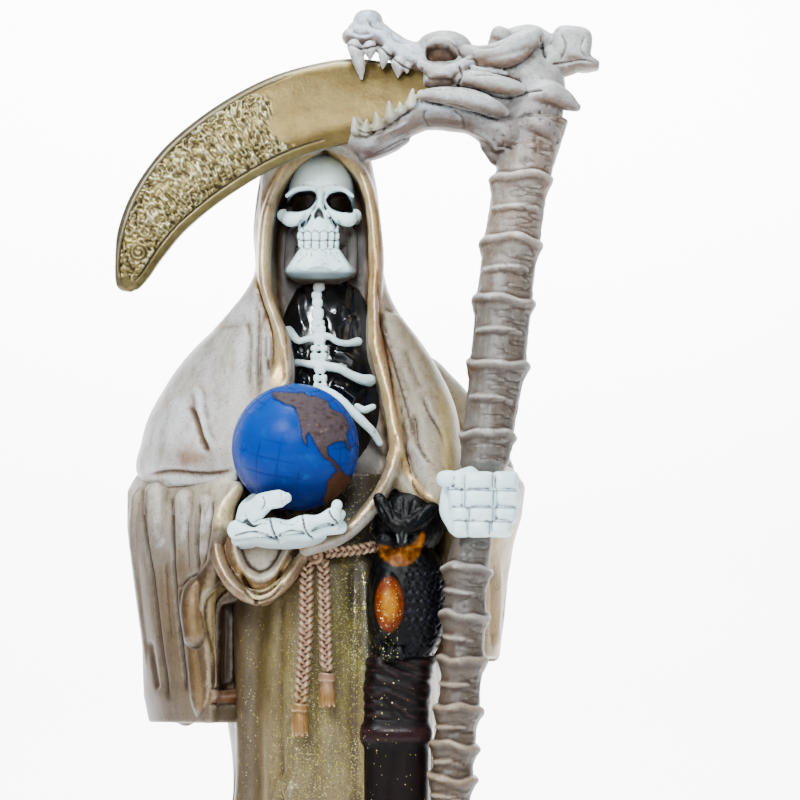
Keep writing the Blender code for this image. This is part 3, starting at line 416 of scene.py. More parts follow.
def enamel(name, grain=1.0, mottle=0.12, fine=0.05, mottle_size=9.0, coat=0.0, glint=0.0, specular=0.5, streak=0.0,
           stain=0.0, wear=0.0, specks=0.0):
    """Brushed paint over cast resin: the painted colour, mottled, washed brown, specked or glittering."""
    material = bpy.data.materials.new(name)
    material.use_nodes = True
    tree = material.node_tree
    shader = tree.nodes["Principled BSDF"]
    link = tree.links.new
    place = tree.nodes.new("ShaderNodeTexCoord")
    paint, finish = paint_node(tree, "paint"), paint_node(tree, "finish")
    parts = tree.nodes.new("ShaderNodeSeparateColor")
    link(finish.outputs["Color"], parts.inputs["Color"])

    def texture(size, detail=4.0, rough=0.6, stretch=None):
        node = tree.nodes.new("ShaderNodeTexNoise")
        node.inputs["Scale"].default_value = 1000.0 / size
        node.inputs["Detail"].default_value = detail
        node.inputs["Roughness"].default_value = rough
        if stretch:
            mapping = tree.nodes.new("ShaderNodeMapping")
            mapping.inputs["Scale"].default_value = stretch
            link(place.outputs["Object"], mapping.inputs["Vector"])
            link(mapping.outputs["Vector"], node.inputs["Vector"])
        else:
            link(place.outputs["Object"], node.inputs["Vector"])
        return node.outputs["Fac"]

    def math_node(kind, a, b=None, c=None, clamp=False):
        node = tree.nodes.new("ShaderNodeMath")
        node.operation, node.use_clamp = kind, clamp
        for socket, value in zip(node.inputs, (a, b, c)):
            if value is None:
                continue
            if isinstance(value, (int, float)):
                socket.default_value = value
            else:
                link(value, socket)
        return node.outputs[0]

    broad = texture(mottle_size, 5.0, 0.65, (1, 1, 0.45) if streak else None)
    small = texture(1.3, 3.0, 0.7)
    shade = math_node("MULTIPLY_ADD", broad, 2 * mottle, 1 - mottle)
    shade = math_node("MULTIPLY", shade, math_node("MULTIPLY_ADD", small, 2 * fine, 1 - fine))
    scaled = tree.nodes.new("ShaderNodeVectorMath")
    scaled.operation = "SCALE"
    link(paint.outputs["Color"], scaled.inputs[0])
    link(shade, scaled.inputs["Scale"])
    base = scaled.outputs[0]

    def blend(share, first, second):
        node = tree.nodes.new("ShaderNodeMix")
        node.data_type = "RGBA"
        for name_of, value in (("Factor", share), ("A", first), ("B", second)):
            if isinstance(value, tuple):
                node.inputs[name_of].default_value = value
            else:
                link(value, node.inputs[name_of])
        return node.outputs["Result"]

    def tinted(colour):
        node = tree.nodes.new("ShaderNodeVectorMath")
        node.operation = "MULTIPLY"
        link(base, node.inputs[0])
        node.inputs[1].default_value = colour
        return node.outputs[0]

    cover = texture(mottle_size * 0.75, 9.0, 0.72, (1, 1, 0.35) if streak else None)
    if stain:
        share = math_node("MULTIPLY", math_node("MULTIPLY", math_node("SUBTRACT", cover, 0.49), 7.0, clamp=True),
                          stain)
        base = blend(share, base, tinted((0.46, 0.34, 0.24)))
    if wear:
        share = math_node("MULTIPLY", math_node("MULTIPLY", math_node("SUBTRACT", 0.47, cover), 8.0, clamp=True),
                          wear)
        base = blend(share, base, tinted((1.55, 1.6, 1.7)))
    if specks:
        dots = texture(1.1, 2.0, 0.5)
        share = math_node("MULTIPLY", math_node("MULTIPLY", math_node("SUBTRACT", dots, 0.61), 14.0, clamp=True),
                          specks)
        base = blend(share, base, tinted((0.30, 0.22, 0.16)))
    metal, rough = parts.outputs["Red"], parts.outputs["Green"]
    rough = math_node("ADD", rough, math_node("MULTIPLY_ADD", small, 0.16, -0.08), clamp=True)
    height = math_node("MULTIPLY_ADD", small, 0.5, math_node("MULTIPLY", broad, 0.5))
    if glint:
        cells = tree.nodes.new("ShaderNodeTexVoronoi")
        cells.inputs["Scale"].default_value = 1000.0 / glint
        link(place.outputs["Object"], cells.inputs["Vector"])
        split = tree.nodes.new("ShaderNodeSeparateColor")
        link(cells.outputs["Color"], split.inputs["Color"])
        # a flake where the cell's own number beats the painted glitter, inside its middle
        chosen = math_node("LESS_THAN", split.outputs["Red"], math_node("MULTIPLY", parts.outputs["Blue"], 0.95))
        middle = math_node("LESS_THAN", cells.outputs["Distance"], 0.46)
        flake = math_node("MULTIPLY", chosen, middle)
        bright = math_node("MULTIPLY_ADD", split.outputs["Green"], 0.85, 0.15)
        tone = tree.nodes.new("ShaderNodeMix")
        tone.data_type = "RGBA"
        link(split.outputs["Blue"], tone.inputs["Factor"])
        tone.inputs["A"].default_value = (*rgb(226, 206, 60), 1)
        tone.inputs["B"].default_value = (*rgb(255, 250, 186), 1)
        lit = tree.nodes.new("ShaderNodeVectorMath")
        lit.operation = "SCALE"
        link(tone.outputs["Result"], lit.inputs[0])
        link(bright, lit.inputs["Scale"])
        mixed = tree.nodes.new("ShaderNodeMix")
        mixed.data_type = "RGBA"
        link(flake, mixed.inputs["Factor"])
        link(base, mixed.inputs["A"])
        link(lit.outputs[0], mixed.inputs["B"])
        base = mixed.outputs["Result"]
        metal = math_node("MAXIMUM", metal, math_node("MULTIPLY", flake, 0.55))
        rough = math_node("MULTIPLY", rough, math_node("MULTIPLY_ADD", flake, -0.55, 1.0))
        height = math_node("MULTIPLY_ADD", math_node("MULTIPLY", flake, split.outputs["Green"]), 1.5, height)
    link(base, shader.inputs["Base Color"])
    link(metal, shader.inputs["Metallic"])
    link(rough, shader.inputs["Roughness"])
    shader.inputs["Specular IOR Level"].default_value = specular
    if coat:
        shader.inputs["Coat Weight"].default_value = coat
        shader.inputs["Coat Roughness"].default_value = 0.12
    bump = tree.nodes.new("ShaderNodeBump")
    bump.inputs["Strength"].default_value = 0.35 * grain
    bump.inputs["Distance"].default_value = 0.0004
    link(height, bump.inputs["Height"])
    link(bump.outputs["Normal"], shader.inputs["Normal"])
    return material


MATERIALS = {
    "cloth": enamel("cloak_paint", grain=1.3, mottle=0.22, fine=0.16, mottle_size=12, specular=0.45, streak=1,
                    stain=0.55, wear=0.35, specks=0.6),
    "robe": enamel("robe_paint", grain=1.3, mottle=0.24, fine=0.16, mottle_size=9, glint=0.62, streak=1, stain=0.6,
                   wear=0.4, specks=0.5),
    "bone": enamel("bone_paint", grain=0.8, mottle=0.07, fine=0.06, mottle_size=6, specular=0.6, wear=0.12),
    "relic": enamel("old_bone_paint", grain=1.5, mottle=0.18, fine=0.14, mottle_size=6, specular=0.6, stain=0.35,
                    wear=0.4, specks=0.6),
    "black": enamel("black_gloss", grain=0.5, mottle=0.2, fine=0.1, mottle_size=8, coat=0.6),
    "gold": enamel("gold_paint", grain=1.2, mottle=0.16, fine=0.14, mottle_size=7, stain=0.35, wear=0.2),
    "globe": enamel("globe_paint", grain=1.0, mottle=0.16, fine=0.10, mottle_size=9, specular=0.08, wear=0.1),
    "owl": enamel("owl_paint", grain=1.2, mottle=0.2, fine=0.12, mottle_size=6, glint=0.6, specular=0.12),
    "copper": enamel("copper_paint", grain=0.8, mottle=0.14, fine=0.1, mottle_size=5, stain=0.3),
    "base": enamel("base_paint", grain=1.5, mottle=0.2, fine=0.12, mottle_size=10, stain=0.4, specks=0.5),
}


def wash_shade_and_highlight(skin, rounds=6, strength=1.0, colour=BONE_WASH_AND_SHADE, reach=0.35, light=None, light_strength=0.3):
    """Darker colour in the grooves, partly a brown wash and partly painted shade; lighter colour on the edges, partly
    rubbed-off paint and partly painted highlight.
    """
    low = skin.hollow(rounds)
    skin.mix(colour, strength * step(0.02, reach, low))
    if light is not None:
        skin.mix(light, light_strength * step(0.04, reach, -low))


def oval(z, left, right, front_y, back_y, square=2.3, sides=48, folds=None, square_front=None):
    cx, cy, rx, ry = (left + right) / 2, (front_y + back_y) / 2, (right - left) / 2, (back_y - front_y) / 2
    turn = np.linspace(0, 2 * math.pi, sides, endpoint=False)
    c, s = np.cos(turn), np.sin(turn)
    grow = np.array([folds(t) for t in turn]) if folds else 0.0
    power = np.where(s < 0, 2 / (square_front or square), 2 / square)
    return np.stack([cx + np.sign(c) * np.abs(c) ** power * (rx + grow), cy
                     + np.sign(s) * np.abs(s) ** power * (ry + grow),
                     np.full(sides, float(z))], axis=1)


def ripple(height, waves, phase=0.0, only=None):
    def folds(turn):
        size = height * (math.sin(waves * turn + phase) + 0.4 * math.sin((2 * waves + 1) * turn + 2 * phase))
        return size * (only(turn) if only else 1.0)
    return folds


def back_only(turn):
    return max(0.0, math.sin(turn)) ** 0.6


def spots(y, *rows):
    """Rows of x, y, z and radius from rows of u, v and radius on the front sheet, at depth y."""
    return [(*front(u, v, y), radius) for u, v, radius in rows]


EYE_LEFT = [(285.8, 212), (286, 206), (291.5, 196.3), (299.8, 191.2), (309.7, 189.4), (315.8, 192), (316.6, 197.3),
            (313.6, 204.2), (307.7, 209.4), (296, 212)]
EYE_RIGHT = [(325.5, 198.3), (329.4, 193.3), (337.3, 191.2), (345.3, 193), (350.4, 200), (352.4, 206.2), (353, 213),
             (341.3, 212.6), (331.4, 208.6), (326.5, 203.2)]
NOSE = [(318.6, 206.6), (322.8, 212), (324.2, 219.6), (319.2, 216.6), (314.2, 220), (314.4, 213)]
TEETH_TOP = (297, 302.8, 310.7, 319.6, 328.5, 335.4, 339.6)
TEETH_LOW = (298, 303.6, 311.2, 319.4, 327.8, 334.0, 339.0)


def make_skull():
    clay = Clay()
    rows = smooth_path([(532, 1.5, -17, -6), (530.6, 7, -24, 4), (527, 11.6, -31, 11), (522.5, 14.8, -35, 15),
                        (517, 16.6, -37.2, 18), (511, 17.3, -38.3, 19),
                        (505, 17.2, -38.2, 19), (499, 16.4, -36.4, 18), (492, 14.6, -32, 16), (485, 12, -26, 12)], 40)
    clay.loft([oval(z, -0.6 - half, -0.6 + half, front_y, back_y, 2.3, 60, None, 2.7) for z, half, front_y,
               back_y in rows])
    for side in (-1, 1):
        # a low brow over each eye and the flank of the nose
        clay.tube(spots(-38.0, (319.5 + 3 * side, 191.5, 1.4), (319.5 + 13 * side, 188.5, 1.4),
                        (319.5 + 24 * side, 189.5, 1.3), (319.5 + 33 * side, 196, 1.0)), 14, 30)
        # the plate of the cheekbone
        clay.tube([(*front(u, v, y), r) for u, v, y, r in ((319.5 + 9 * side, 212, -39.4, 1.5),
                (319.5 + 16 * side, 216, -39.0, 2.4), (319.5 + 23 * side, 218.4, -38.4, 3.3),
                                                         (319.5 + 29.5 * side, 218.4, -37, 4.1),
                (319.5 + 33.5 * side, 214.5, -34.5, 2.9))], 18, 40)
        x, _, z = front(319.5 + 36 * side, 217, -30)
        clay.tube([(x, -34, z, 3.2), (x + 0.4 * side, -22, z + 1.4, 2.4), (x - 0.5 * side, -8, z + 2, 2.0)], 12, 16)
        # hind part of the lower jaw
        clay.tube([(-0.5 + 15.5 * side, -14, 492, 2.6), (-0.5 + 15.5 * side, -19, 480, 3.0),
                   (-0.5 + 15 * side, -27, 470, 3.2)], 12, 20)
    clay.tube(spots(-40, (319.8, 191, 1.8), (320.2, 199, 1.7), (319.6, 206, 2.2)), 12, 20)
    # upper jaw: a drum that widens down to the teeth
    loops = []
    for v, half, near in ((203, 5, -39.5), (208, 8.5, -40.4), (214, 12.5, -41), (220, 15, -41.2), (226, 17.5, -41.2),
                          (232, 20, -41.2), (240, 20.6, -41), (249, 20, -40.6), (258, 21, -40)):
        x, _, z = front(318.8, v, near)
        half *= 0.487
        loops.append([(x + half * math.cos(t), near + 9 + 9 * math.sin(t), z)
                      for t in np.linspace(0, 2 * math.pi, 32, endpoint=False)])
    clay.loft(loops)
    # lower jaw: a block that flares down to its square corners
    loops = []
    for v, half, near in ((246.5, 19.5, -41.4), (250, 22.5, -41.8), (256, 26.5, -42.4), (262, 30.5, -42.8),
                          (267, 33.4, -42.8), (270.5, 33.6, -41.6), (274, 29, -38.5), (278, 20, -33)):
        x, _, z = front(319, v, near)
        half *= 0.487
        profile = ((-1.0, 9), (-0.99, 4), (-0.88, 1.2), (-0.6, 0.1), (-0.3, -0.5), (0, -0.9), (0.3, -0.5), (0.6, 0.1),
                   (0.88, 1.2), (0.99, 4), (1.0, 9), (0.96, 18), (0.5, 23),
                   (-0.5, 23), (-0.96, 18))
        loops.append([(x + half * a, near + b, z) for a, b in profile])
    clay.loft(loops)
    clay.ball(front(318.5, 264, -43.4), (2.6, 1.5, 1.6), sides=14)
    # teeth, nearly flush with the jaws
    for v0, v1, bounds in ((232.6, 240.2, TEETH_TOP), (240.4, 247.6, TEETH_LOW)):
        for a, b in zip(bounds, bounds[1:]):
            middle = (a + b) / 2
            bend = ((middle - 318.8) / 20) ** 2
            clay.ball(front(middle, (v0 + v1) / 2, -40.0 + 4.6 * bend), ((b - a) * 0.240, 1.7, (v1 - v0) * 0.256),
                      sides=18, square=4.0)
        for a, b in zip(bounds, bounds[1:]):
            # roots under the gums
            middle = (a + b) / 2
            bend = ((middle - 318.8) / 20) ** 2
            v_root = v0 - 3.5 if bounds is TEETH_TOP else v1 + 3
            clay.ball(front(middle, v_root, -40.3 + 4.6 * bend), ((b - a) * 0.2, 1.3, 2.2), sides=12)
    skin = clay.skin("skull", 0.5, 1)
    for outline in (EYE_LEFT, EYE_RIGHT):
        skin.press(outline, 13, 2.6, y=(-50, -12))
    skin.press(NOSE, 4.5, 1.6, y=(-60, -30))
    skin.press([(304, 222), (300.5, 229), (294, 238), (289, 243), (288.5, 231), (297, 229)], 5.5, 3, y=(-60, -25))
    skin.press([(334, 222), (338, 229), (346, 238), (350, 243), (350.5, 233), (341, 230)], 5.5, 3, y=(-60, -25))
    remesh(skin.item, 0.5 * FINE, 1)
    skin = Skin(skin.item)
    skin.colour[:] = rgb(232, 244, 248)
    skin.rough[:] = 0.4
    line = [(297.5, 239), (303, 240.6), (311, 240.2), (319.6, 240.8), (328, 240.2), (335, 240.6), (340, 239.4)]
    skin.stroke(line, 0.7, -0.5, taper=0)
    seams = [[(a, 232.8), ((a + b) / 2 + 0.2, 240.5), (b, 247.6)] for a, b in zip(TEETH_TOP[1:-1], TEETH_LOW[1:-1])]
    for seam in seams:
        skin.stroke(seam, 0.65, -0.45, taper=0)
    for rows in ([(297, 232.5), (300, 230.8), (303, 232.8), (307, 230.6), (311, 232.6), (315, 230.2), (319.5, 232.6),
                  (324, 230.4), (328.5, 232.8), (332, 231), (335.5, 233), (339, 232)],
                 [(298, 247), (301, 249), (304, 247.4), (307, 249.6), (311, 247.4), (315, 250), (319.4, 247.6),
                  (323, 250), (328, 247.6), (331, 249.4), (334, 247.4), (338, 248.6)]):
        skin.stroke(rows, 0.7, -0.35, taper=0)
    for side in (-1, 1):
        for k, u in enumerate((301, 307, 312)):
            skin.stroke([(319 + side * (319 - u), 251), (319 + side * (319 - u) * 1.06, 257)], 0.8, -0.25)
    # cuts beside the nose and under the cheeks, the facets and the boss of the chin
    for rows, width, depth in (([(317, 193), (315.6, 203), (311.5, 213), (307.5, 221), (302, 230)], 1.1, -0.6),
                               ([(322, 193), (323.6, 203), (328.5, 213), (332, 221), (336, 230)], 1.1, -0.6),
                               ([(301, 219), (298.5, 225), (293, 231)], 1.2, -0.7),
                               ([(306, 218), (302, 225), (298, 231)], 0.8, -0.4),
                               ([(337, 219), (340, 225), (345, 231)], 1.2, -0.7),
                               ([(332, 218), (336, 226), (340, 231)], 0.8, -0.4),
                               ([(287, 268), (296, 266), (305, 270), (312, 266.5), (326, 266.5), (334, 270),
                                 (343, 266), (351, 267)], 1.0, 0.5),
                               ([(312, 259), (316, 257.5), (322, 257.5), (326, 259), (326, 265), (312, 265)], 0.8,
                                0.35), ([(305, 252), (302, 258), (296, 263)], 1.5, -0.35),
                               ([(333, 252), (336, 258), (342, 263)], 1.5, -0.35),
                               ([(319, 160), (319.5, 172), (319.5, 184)], 2.0, 0.3),
                               ([(303, 184), (310, 181), (316, 184)], 2.0, 0.3),
                               ([(336, 184), (330, 181), (323, 184)], 2.0, 0.3)):
        skin.stroke(rows, width, depth)
    skin.move(skin.normals * (0.14 * noise(skin.points, 5, 23) + 0.05 * noise(skin.points, 1.8, 24))[:, None])
    skin.mix(rgb(206, 220, 222), 0.5 * step(0.1, 0.7, noise(skin.points, 8, 3)))
    # the brow band and the top of the cranium painted lighter: painted light
    skin.mix(rgb(246, 252, 255), 0.7 * step(172, 186, skin.v) * step(190, 184, skin.v) + 0.4 * step(188, 160, skin.v))
    wash_shade_and_highlight(skin, 12, 1.0, rgb(54, 50, 42), 0.5, rgb(250, 254, 255), 0.5)
    wash_shade_and_highlight(skin, 4, 1.0, rgb(54, 50, 44), 0.15)
    for outline in (EYE_LEFT, EYE_RIGHT):
        deep = skin.area(outline, 0.9) * step(-37.6, -34.5, skin.points[:, 1])
        skin.mix(rgb(8, 8, 9), deep)
        skin.set(deep, rough=0.3)
    skin.mix(rgb(86, 84, 78), 0.85 * skin.area(NOSE, 0.7))
    for seam in seams:
        skin.mix(rgb(92, 100, 98), 0.7 * skin.band(seam, 0.3, 0.5) * skin.seen(0.1))
    skin.mix(rgb(84, 90, 88), 0.75 * skin.band(line, 0.35, 0.5) * skin.seen(0.1))
    # brown lines beside the nose and under the cheekbones: painted shade
    for rows, strength in (([(304, 222), (299, 228), (292, 232)], 0.55), ([(334, 222), (339, 229), (347, 234)], 0.45),
                           ([(305, 214), (301, 222)], 0.5), ([(313, 222), (306, 230)], 0.2)):
        skin.mix(rgb(70, 62, 50), strength * skin.band(rows, 0.8, 2.2) * skin.seen(0.0))
    # painted shade: brown up under the hood and behind the jaw, and grey on the underside of the jaw
    skin.mix(rgb(92, 66, 52), 0.85 * step(-30, -18, skin.points[:, 1]) * step(500, 512, skin.points[:, 2]))
    skin.mix(rgb(150, 132, 122), 0.4 * step(160, 152, skin.v))
    skin.mix(rgb(116, 118, 110), 0.7 * step(270.5, 274, skin.v))
    skin.mix(rgb(96, 74, 58), 0.85 * step(-34, -28, skin.points[:, 1]) * step(500, 492, skin.points[:, 2]))
    skin.finish(MATERIALS["bone"], "figure", "robe", (1.05, 1.2, 1.3))


def make_chest():
    clay = Clay()
    clay.ball((3, -2, 420), (35, 21, 62), sides=48)
    clay.tube([(-2, -12, 474, 7), (-2, -12, 440, 8)], 14, 12)
    skin = clay.skin("chest", 1.0, 2)
    bumps = noise(skin.points * np.array([1, 1, 0.35]), 7, 5, 2)
    skin.move(skin.normals * (1.1 * bumps * (skin.points[:, 1] < 0))[:, None])
    for rows in ([(300, 285), (299, 310), (304, 330)], [(346, 283), (345, 305), (348, 325)], [(338, 290), (336, 315)],
                 [(356, 285), (354, 320)]):
        skin.stroke(rows, 4, 1.0)
    for rows in ([(330, 352), (345, 354), (358, 364)], [(330, 384), (345, 390), (360, 402)], [(294, 352), (306, 356)],
                 [(295, 380), (308, 384)]):
        skin.stroke(rows, 5, 1.6)
    skin.colour[:] = BLACK
    # bluish patches on the black: painted reflection of a pale sky
    skin.mix(rgb(44, 54, 72), 0.6 * step(0.0, 0.8, noise(skin.points * np.array([1, 1, 0.5]), 6, 9)))
    skin.rough[:] = 0.16
    skin.finish(MATERIALS["black"], "figure", "robe")


def make_ribs():
    clay = Clay()

    def plate(u0, v0, u1, v1, y, deep=2.2, square=4.0):
        centre = front((u0 + u1) / 2, (v0 + v1) / 2, y)
        clay.ball(centre, (abs(u1 - u0) * 0.247, deep, abs(v1 - v0) * 0.262), sides=16, square=square)

    for u0, v0, u1, v1, y in ((313, 283, 325, 291, -24), (311.5, 292, 322, 298.5, -25), (312, 299, 323, 307.5, -25.5),
                              (311.5, 308.5, 324, 319, -26.5),
                              (311, 320, 325, 325.6, -27.5), (310.8, 326.4, 318, 332, -28),
                              (319, 326.4, 326, 332, -28),
                              (313.2, 332.6, 325.6, 344.8, -29), (310.4, 345.8, 318.6, 351.4, -30),
                              (319.4, 345.8, 327.6, 351.4, -30),
                              (310.4, 353, 318.6, 359.6, -31), (319.4, 353, 327.6, 359.6, -31),
                              (314, 360.6, 326.2, 373.4, -32),
                              (313.2, 375, 319.6, 381.6, -33.5), (320.6, 375, 327.4, 381.6, -33.5),
                              (313.2, 383, 319.6, 389, -34.5),
                              (320.6, 383, 327.4, 389, -34.5), (314, 391, 328, 400, -35.5)):
        plate(u0, v0, u1, v1, y)
    runs = [([(288.5, 331, -22, 2.7), (293, 336, -24, 2.4), (299, 341, -27, 1.7), (307, 339, -29, 1.6),
              (314, 338, -29.5, 2.0)]),
            ([(325, 336, -29.5, 1.9), (330, 337, -29.5, 1.7), (338, 342, -28.5, 1.6), (348, 343.4, -26, 1.7),
              (358, 341.5, -22, 2.3)]),
            ([(291.5, 365.5, -23, 2.2), (297, 362.8, -26, 1.9), (305, 363.5, -30, 1.8), (314, 365, -32, 2.0)]),
            ([(326, 366, -32.5, 2.4), (340, 369, -32, 2.2), (351, 375, -30, 2.3), (362, 379.5, -27.5, 2.7),
              (370, 380.5, -24, 3.0)]),
            ([(324, 390, -35, 2.2), (337, 397, -37, 2.2), (349, 408, -37.5, 2.2), (361, 420, -36.5, 2.3),
              (372, 431, -34, 2.1), (380, 443, -31, 1.8)]),
            ([(357, 406, -34, 1.4), (364, 410, -33, 1.8), (373, 407, -31, 1.6)])]
    for run in runs:
        clay.tube([(*front(u, v, y), r) for u, v, y, r in run], 12, 40)
    skin = clay.skin("ribs", 0.5, 1)
    skin.move(skin.normals * (0.16 * noise(skin.points, 2.2, 21))[:, None])
    skin.colour[:] = rgb(236, 246, 246)
    skin.rough[:] = 0.4
    # the top of the ribs, under the jaw, darker brown: painted shade
    skin.mix(rgb(120, 96, 66), 0.8 * step(296, 284, skin.v))
    wash_shade_and_highlight(skin, 8, 0.95, rgb(48, 44, 40), 0.45, rgb(240, 246, 244), 0.4)
    skin.mix(rgb(60, 56, 50), 0.75 * step(0.35, 0.75, noise(skin.points, 3.0, 8)))
    skin.finish(MATERIALS["bone"], "figure", "robe", (1.05, 1.2, 1.3))


def front_loop(outline, y, grow=0.0, count=90):
    path = smooth_path([(x, z, 0) for x, z in [*outline, outline[0]]], count + 1)[:-1, :2]
    middle = path.mean(axis=0)
    way = path - middle
    way /= np.linalg.norm(way, axis=1)[:, None]
    return [(x, y, z) for x, z in path + way * grow]


# The same shapes as the solids: the cloak, the robe, the edges of the cloak and the two sleeves
CLOAK = [(563, -5, 8, -14, 14), (557, -14, 14, -28, 24), (546, -21, 20, -37, 32), (530, -28, 24, -42, 38),
         (510, -32, 28, -44, 42), (490, -34, 29, -45, 43), (470, -33, 31, -46, 43), (458, -38, 34, -47, 43),
         (447, -48, 40, -48, 43), (436, -61, 50, -50, 44), (425, -71, 57, -52, 45), (413, -79, 62, -54, 45),
         (398, -87, 67, -58, 46), (385, -90, 70, -62, 46), (372, -92, 73, -63, 46), (362, -85, 70, -60, 45)]
ROBE = [(368, -62, 62, -46, 44), (340, -48, 56, -52, 44), (328, -44, 54, -54, 44), (300, -44, 56, -57, 46),
        (250, -42, 60, -58, 50), (211, -42, 62, -59, 54), (160, -50, 67, -61, 58), (110, -58, 73, -63, 61),
        (60, -66, 80, -66, 64), (30, -72, 85, -69, 66), (16, -72, 85, -69, 66)]
BACK = [(440, -38, 38, 43), (412, -76, 58, 46), (385, -88, 66, 48), (362, -84, 66, 49), (330, -76, 64, 50),
        (300, -66, 62, 52), (270, -55, 61, 54), (249, -48, 62, 56), (211, -45, 66, 60), (160, -54, 71, 63),
        (110, -62, 77, 66), (60, -70, 84, 69), (16, -76, 89, 71)]
FALL = [(446, 24, 40, -46, -10), (430, 27, 52, -49, -8), (412, 31, 62, -53, -4), (398, 35, 67, -58, -2),
        (385, 37, 69, -62, -2),
        (372, 38, 70, -66, -6), (362, 40, 69, -70, -14), (354, 46, 65, -73, -30), (350, 52, 60, -71, -46)]
RIM_LEFT = [(2, -42, 534), (-15, -43, 521), (-24, -45, 502), (-27, -46, 477), (-25, -48, 452), (-17, -51, 431),
            (-15, -53, 412), (-21, -54, 404), (-31, -56, 388)]
RIM_RIGHT = [(2, -42, 534), (17, -43, 521), (25, -45, 502), (28, -46, 472), (27, -48, 452), (28, -52, 431),
             (32, -56, 414), (36, -60, 396), (38, -64, 377), (35, -66, 365), (27, -70, 350), (13, -73, 336),
             (-5, -74, 329)]
SLEEVE_LEFT = {
    371: [(-93, 8), (-92, -8), (-82, -22), (-68, -30), (-56, -40), (-46, -48), (-42, -46), (-42, -34), (-44, -18),
          (-50, 4), (-62, 20), (-82, 20)],
    362: [(-98, 10), (-97, -10), (-86, -29), (-72, -38), (-58, -49), (-45, -61), (-39, -60), (-40, -40), (-42, -22),
          (-44, 6), (-60, 24), (-85, 24)],
    345: [(-98, 10), (-96, -12), (-86, -34), (-71, -44), (-59, -54), (-49, -67), (-42, -66), (-40, -46), (-40, -26),
          (-40, 8), (-60, 26), (-85, 25)],
    325: [(-95, 10), (-93, -14), (-84, -36), (-70, -47), (-59, -56), (-50, -68), (-44, -66), (-42, -48), (-38, -30),
          (-38, 8), (-60, 27), (-83, 26)],
    305: [(-92, 10), (-90, -14), (-81, -36), (-69, -47), (-60, -54), (-53, -64), (-48, -60), (-50, -44), (-38, -32),
          (-36, 8), (-58, 27), (-80, 26)],
    285: [(-89, 10), (-87, -14), (-78, -36), (-68, -46), (-60, -52), (-52, -60), (-48, -56), (-51, -42), (-38, -31),
          (-36, 8), (-56, 27), (-78, 26)],
    262: [(-88, 10), (-86, -14), (-77, -34), (-66, -44), (-58, -50), (-50, -57), (-46, -53), (-50, -40), (-38, -30),
          (-36, 8), (-55, 27), (-76, 26)],
    249: [(-85, 8), (-83, -14), (-75, -31), (-65, -41), (-58, -47), (-51, -54), (-47, -50), (-50, -39), (-39, -30),
          (-37, 6), (-55, 24), (-74, 24)],
}
SLEEVE_RIGHT = {
    372: [(60, 8), (58, -14), (64, -30), (74, -44), (84, -48), (92, -34), (96, -14), (95, 8), (84, 24), (68, 24)],
    364: [(58, 8), (56, -20), (60, -42), (68, -60), (86, -64), (96, -44), (101, -18), (99, 8), (86, 26), (66, 26)],
    350: [(58, 8), (56, -22), (60, -48), (68, -66), (86, -70), (95, -48), (99, -18), (98, 8), (85, 26), (66, 26)],
    336: [(58, 8), (56, -20), (60, -44), (68, -60), (84, -64), (92, -44), (95, -18), (94, 8), (82, 26), (65, 26)],
    318: [(57, 8), (56, -16), (60, -34), (66, -46), (78, -50), (88, -36), (92, -14), (91, 8), (80, 25), (64, 26)],
    300: [(57, 8), (56, -14), (60, -28), (66, -38), (76, -42), (86, -30), (90, -12), (89, 8), (78, 24), (63, 25)],
    280: [(56, 8), (56, -12), (60, -24), (66, -33), (75, -36), (84, -26), (88, -10), (86, 8), (76, 22), (62, 23)],
}
GLOBE_CENTRE = np.array([-10.0, -72.0, 377.0])

# Where the front edges of the cloak show on the sheet
CREAM_LEFT = [(305, 160), (289, 170), (279, 182), (268, 205), (263, 230), (261, 255), (262.5, 280), (268, 300),
              (274, 316), (279, 335), (280, 352), (279, 380)]
INNER_LEFT = [(300, 168), (284, 186), (277, 210), (274, 235), (273, 262), (275, 285), (281, 305), (286, 330),
              (288, 352), (289, 378)]
CREAM_RIGHT = [(330, 158), (352, 168), (364, 185), (370, 208), (372, 235), (371, 264), (367, 295), (366, 318),
               (371.7, 344), (379, 370), (384, 395), (389.5, 417),
               (391.5, 442), (390, 459), (382, 477), (373, 498), (360, 512), (343, 527), (318, 539), (298, 545)]
ORANGE_RIGHT = [(368, 190), (374, 212), (377, 240), (376.5, 268), (376.5, 300), (377.5, 320), (383, 344),
                (388.5, 377), (392.5, 405), (397, 431)]
GREY_RIGHT = [(362, 200), (366, 225), (365.5, 245), (361.5, 281), (357.6, 316), (361, 346), (368, 377), (374, 405),
              (381, 430)]
SECOND_RIGHT = [(397, 428), (400.5, 445), (407, 468), (417, 486), (427, 497), (440, 502)]


def cloth_paint(skin, seed=0, brown=0.55):
    """Pale grey cloth, darker brown in the folds (partly a brown wash, partly painted shade) and paler on the ridges
    (partly lighter paint, partly painted highlight).
    """
    skin.colour[:] = CLOTH
    skin.rough[:] = 0.46
    skin.mix(CLOTH_PALE, 0.8 * step(0.0, 0.6, noise(skin.points, 30, seed + 1)))
    skin.mix(rgb(164, 148, 126), 0.55 * step(0.1, 0.7, noise(skin.points * np.array([1, 1, 0.4]), 16, seed + 2)))
    # folds darker (brown wash and painted shade), ridges paler (lighter paint and painted highlight)
    low = skin.hollow(30)
    skin.mix(CLOTH_FOLD_WASH_AND_SHADE, brown * step(0.05, 0.9, low))
    skin.mix(CLOTH_PALE * 1.06, 0.5 * step(0.05, 0.6, -low))


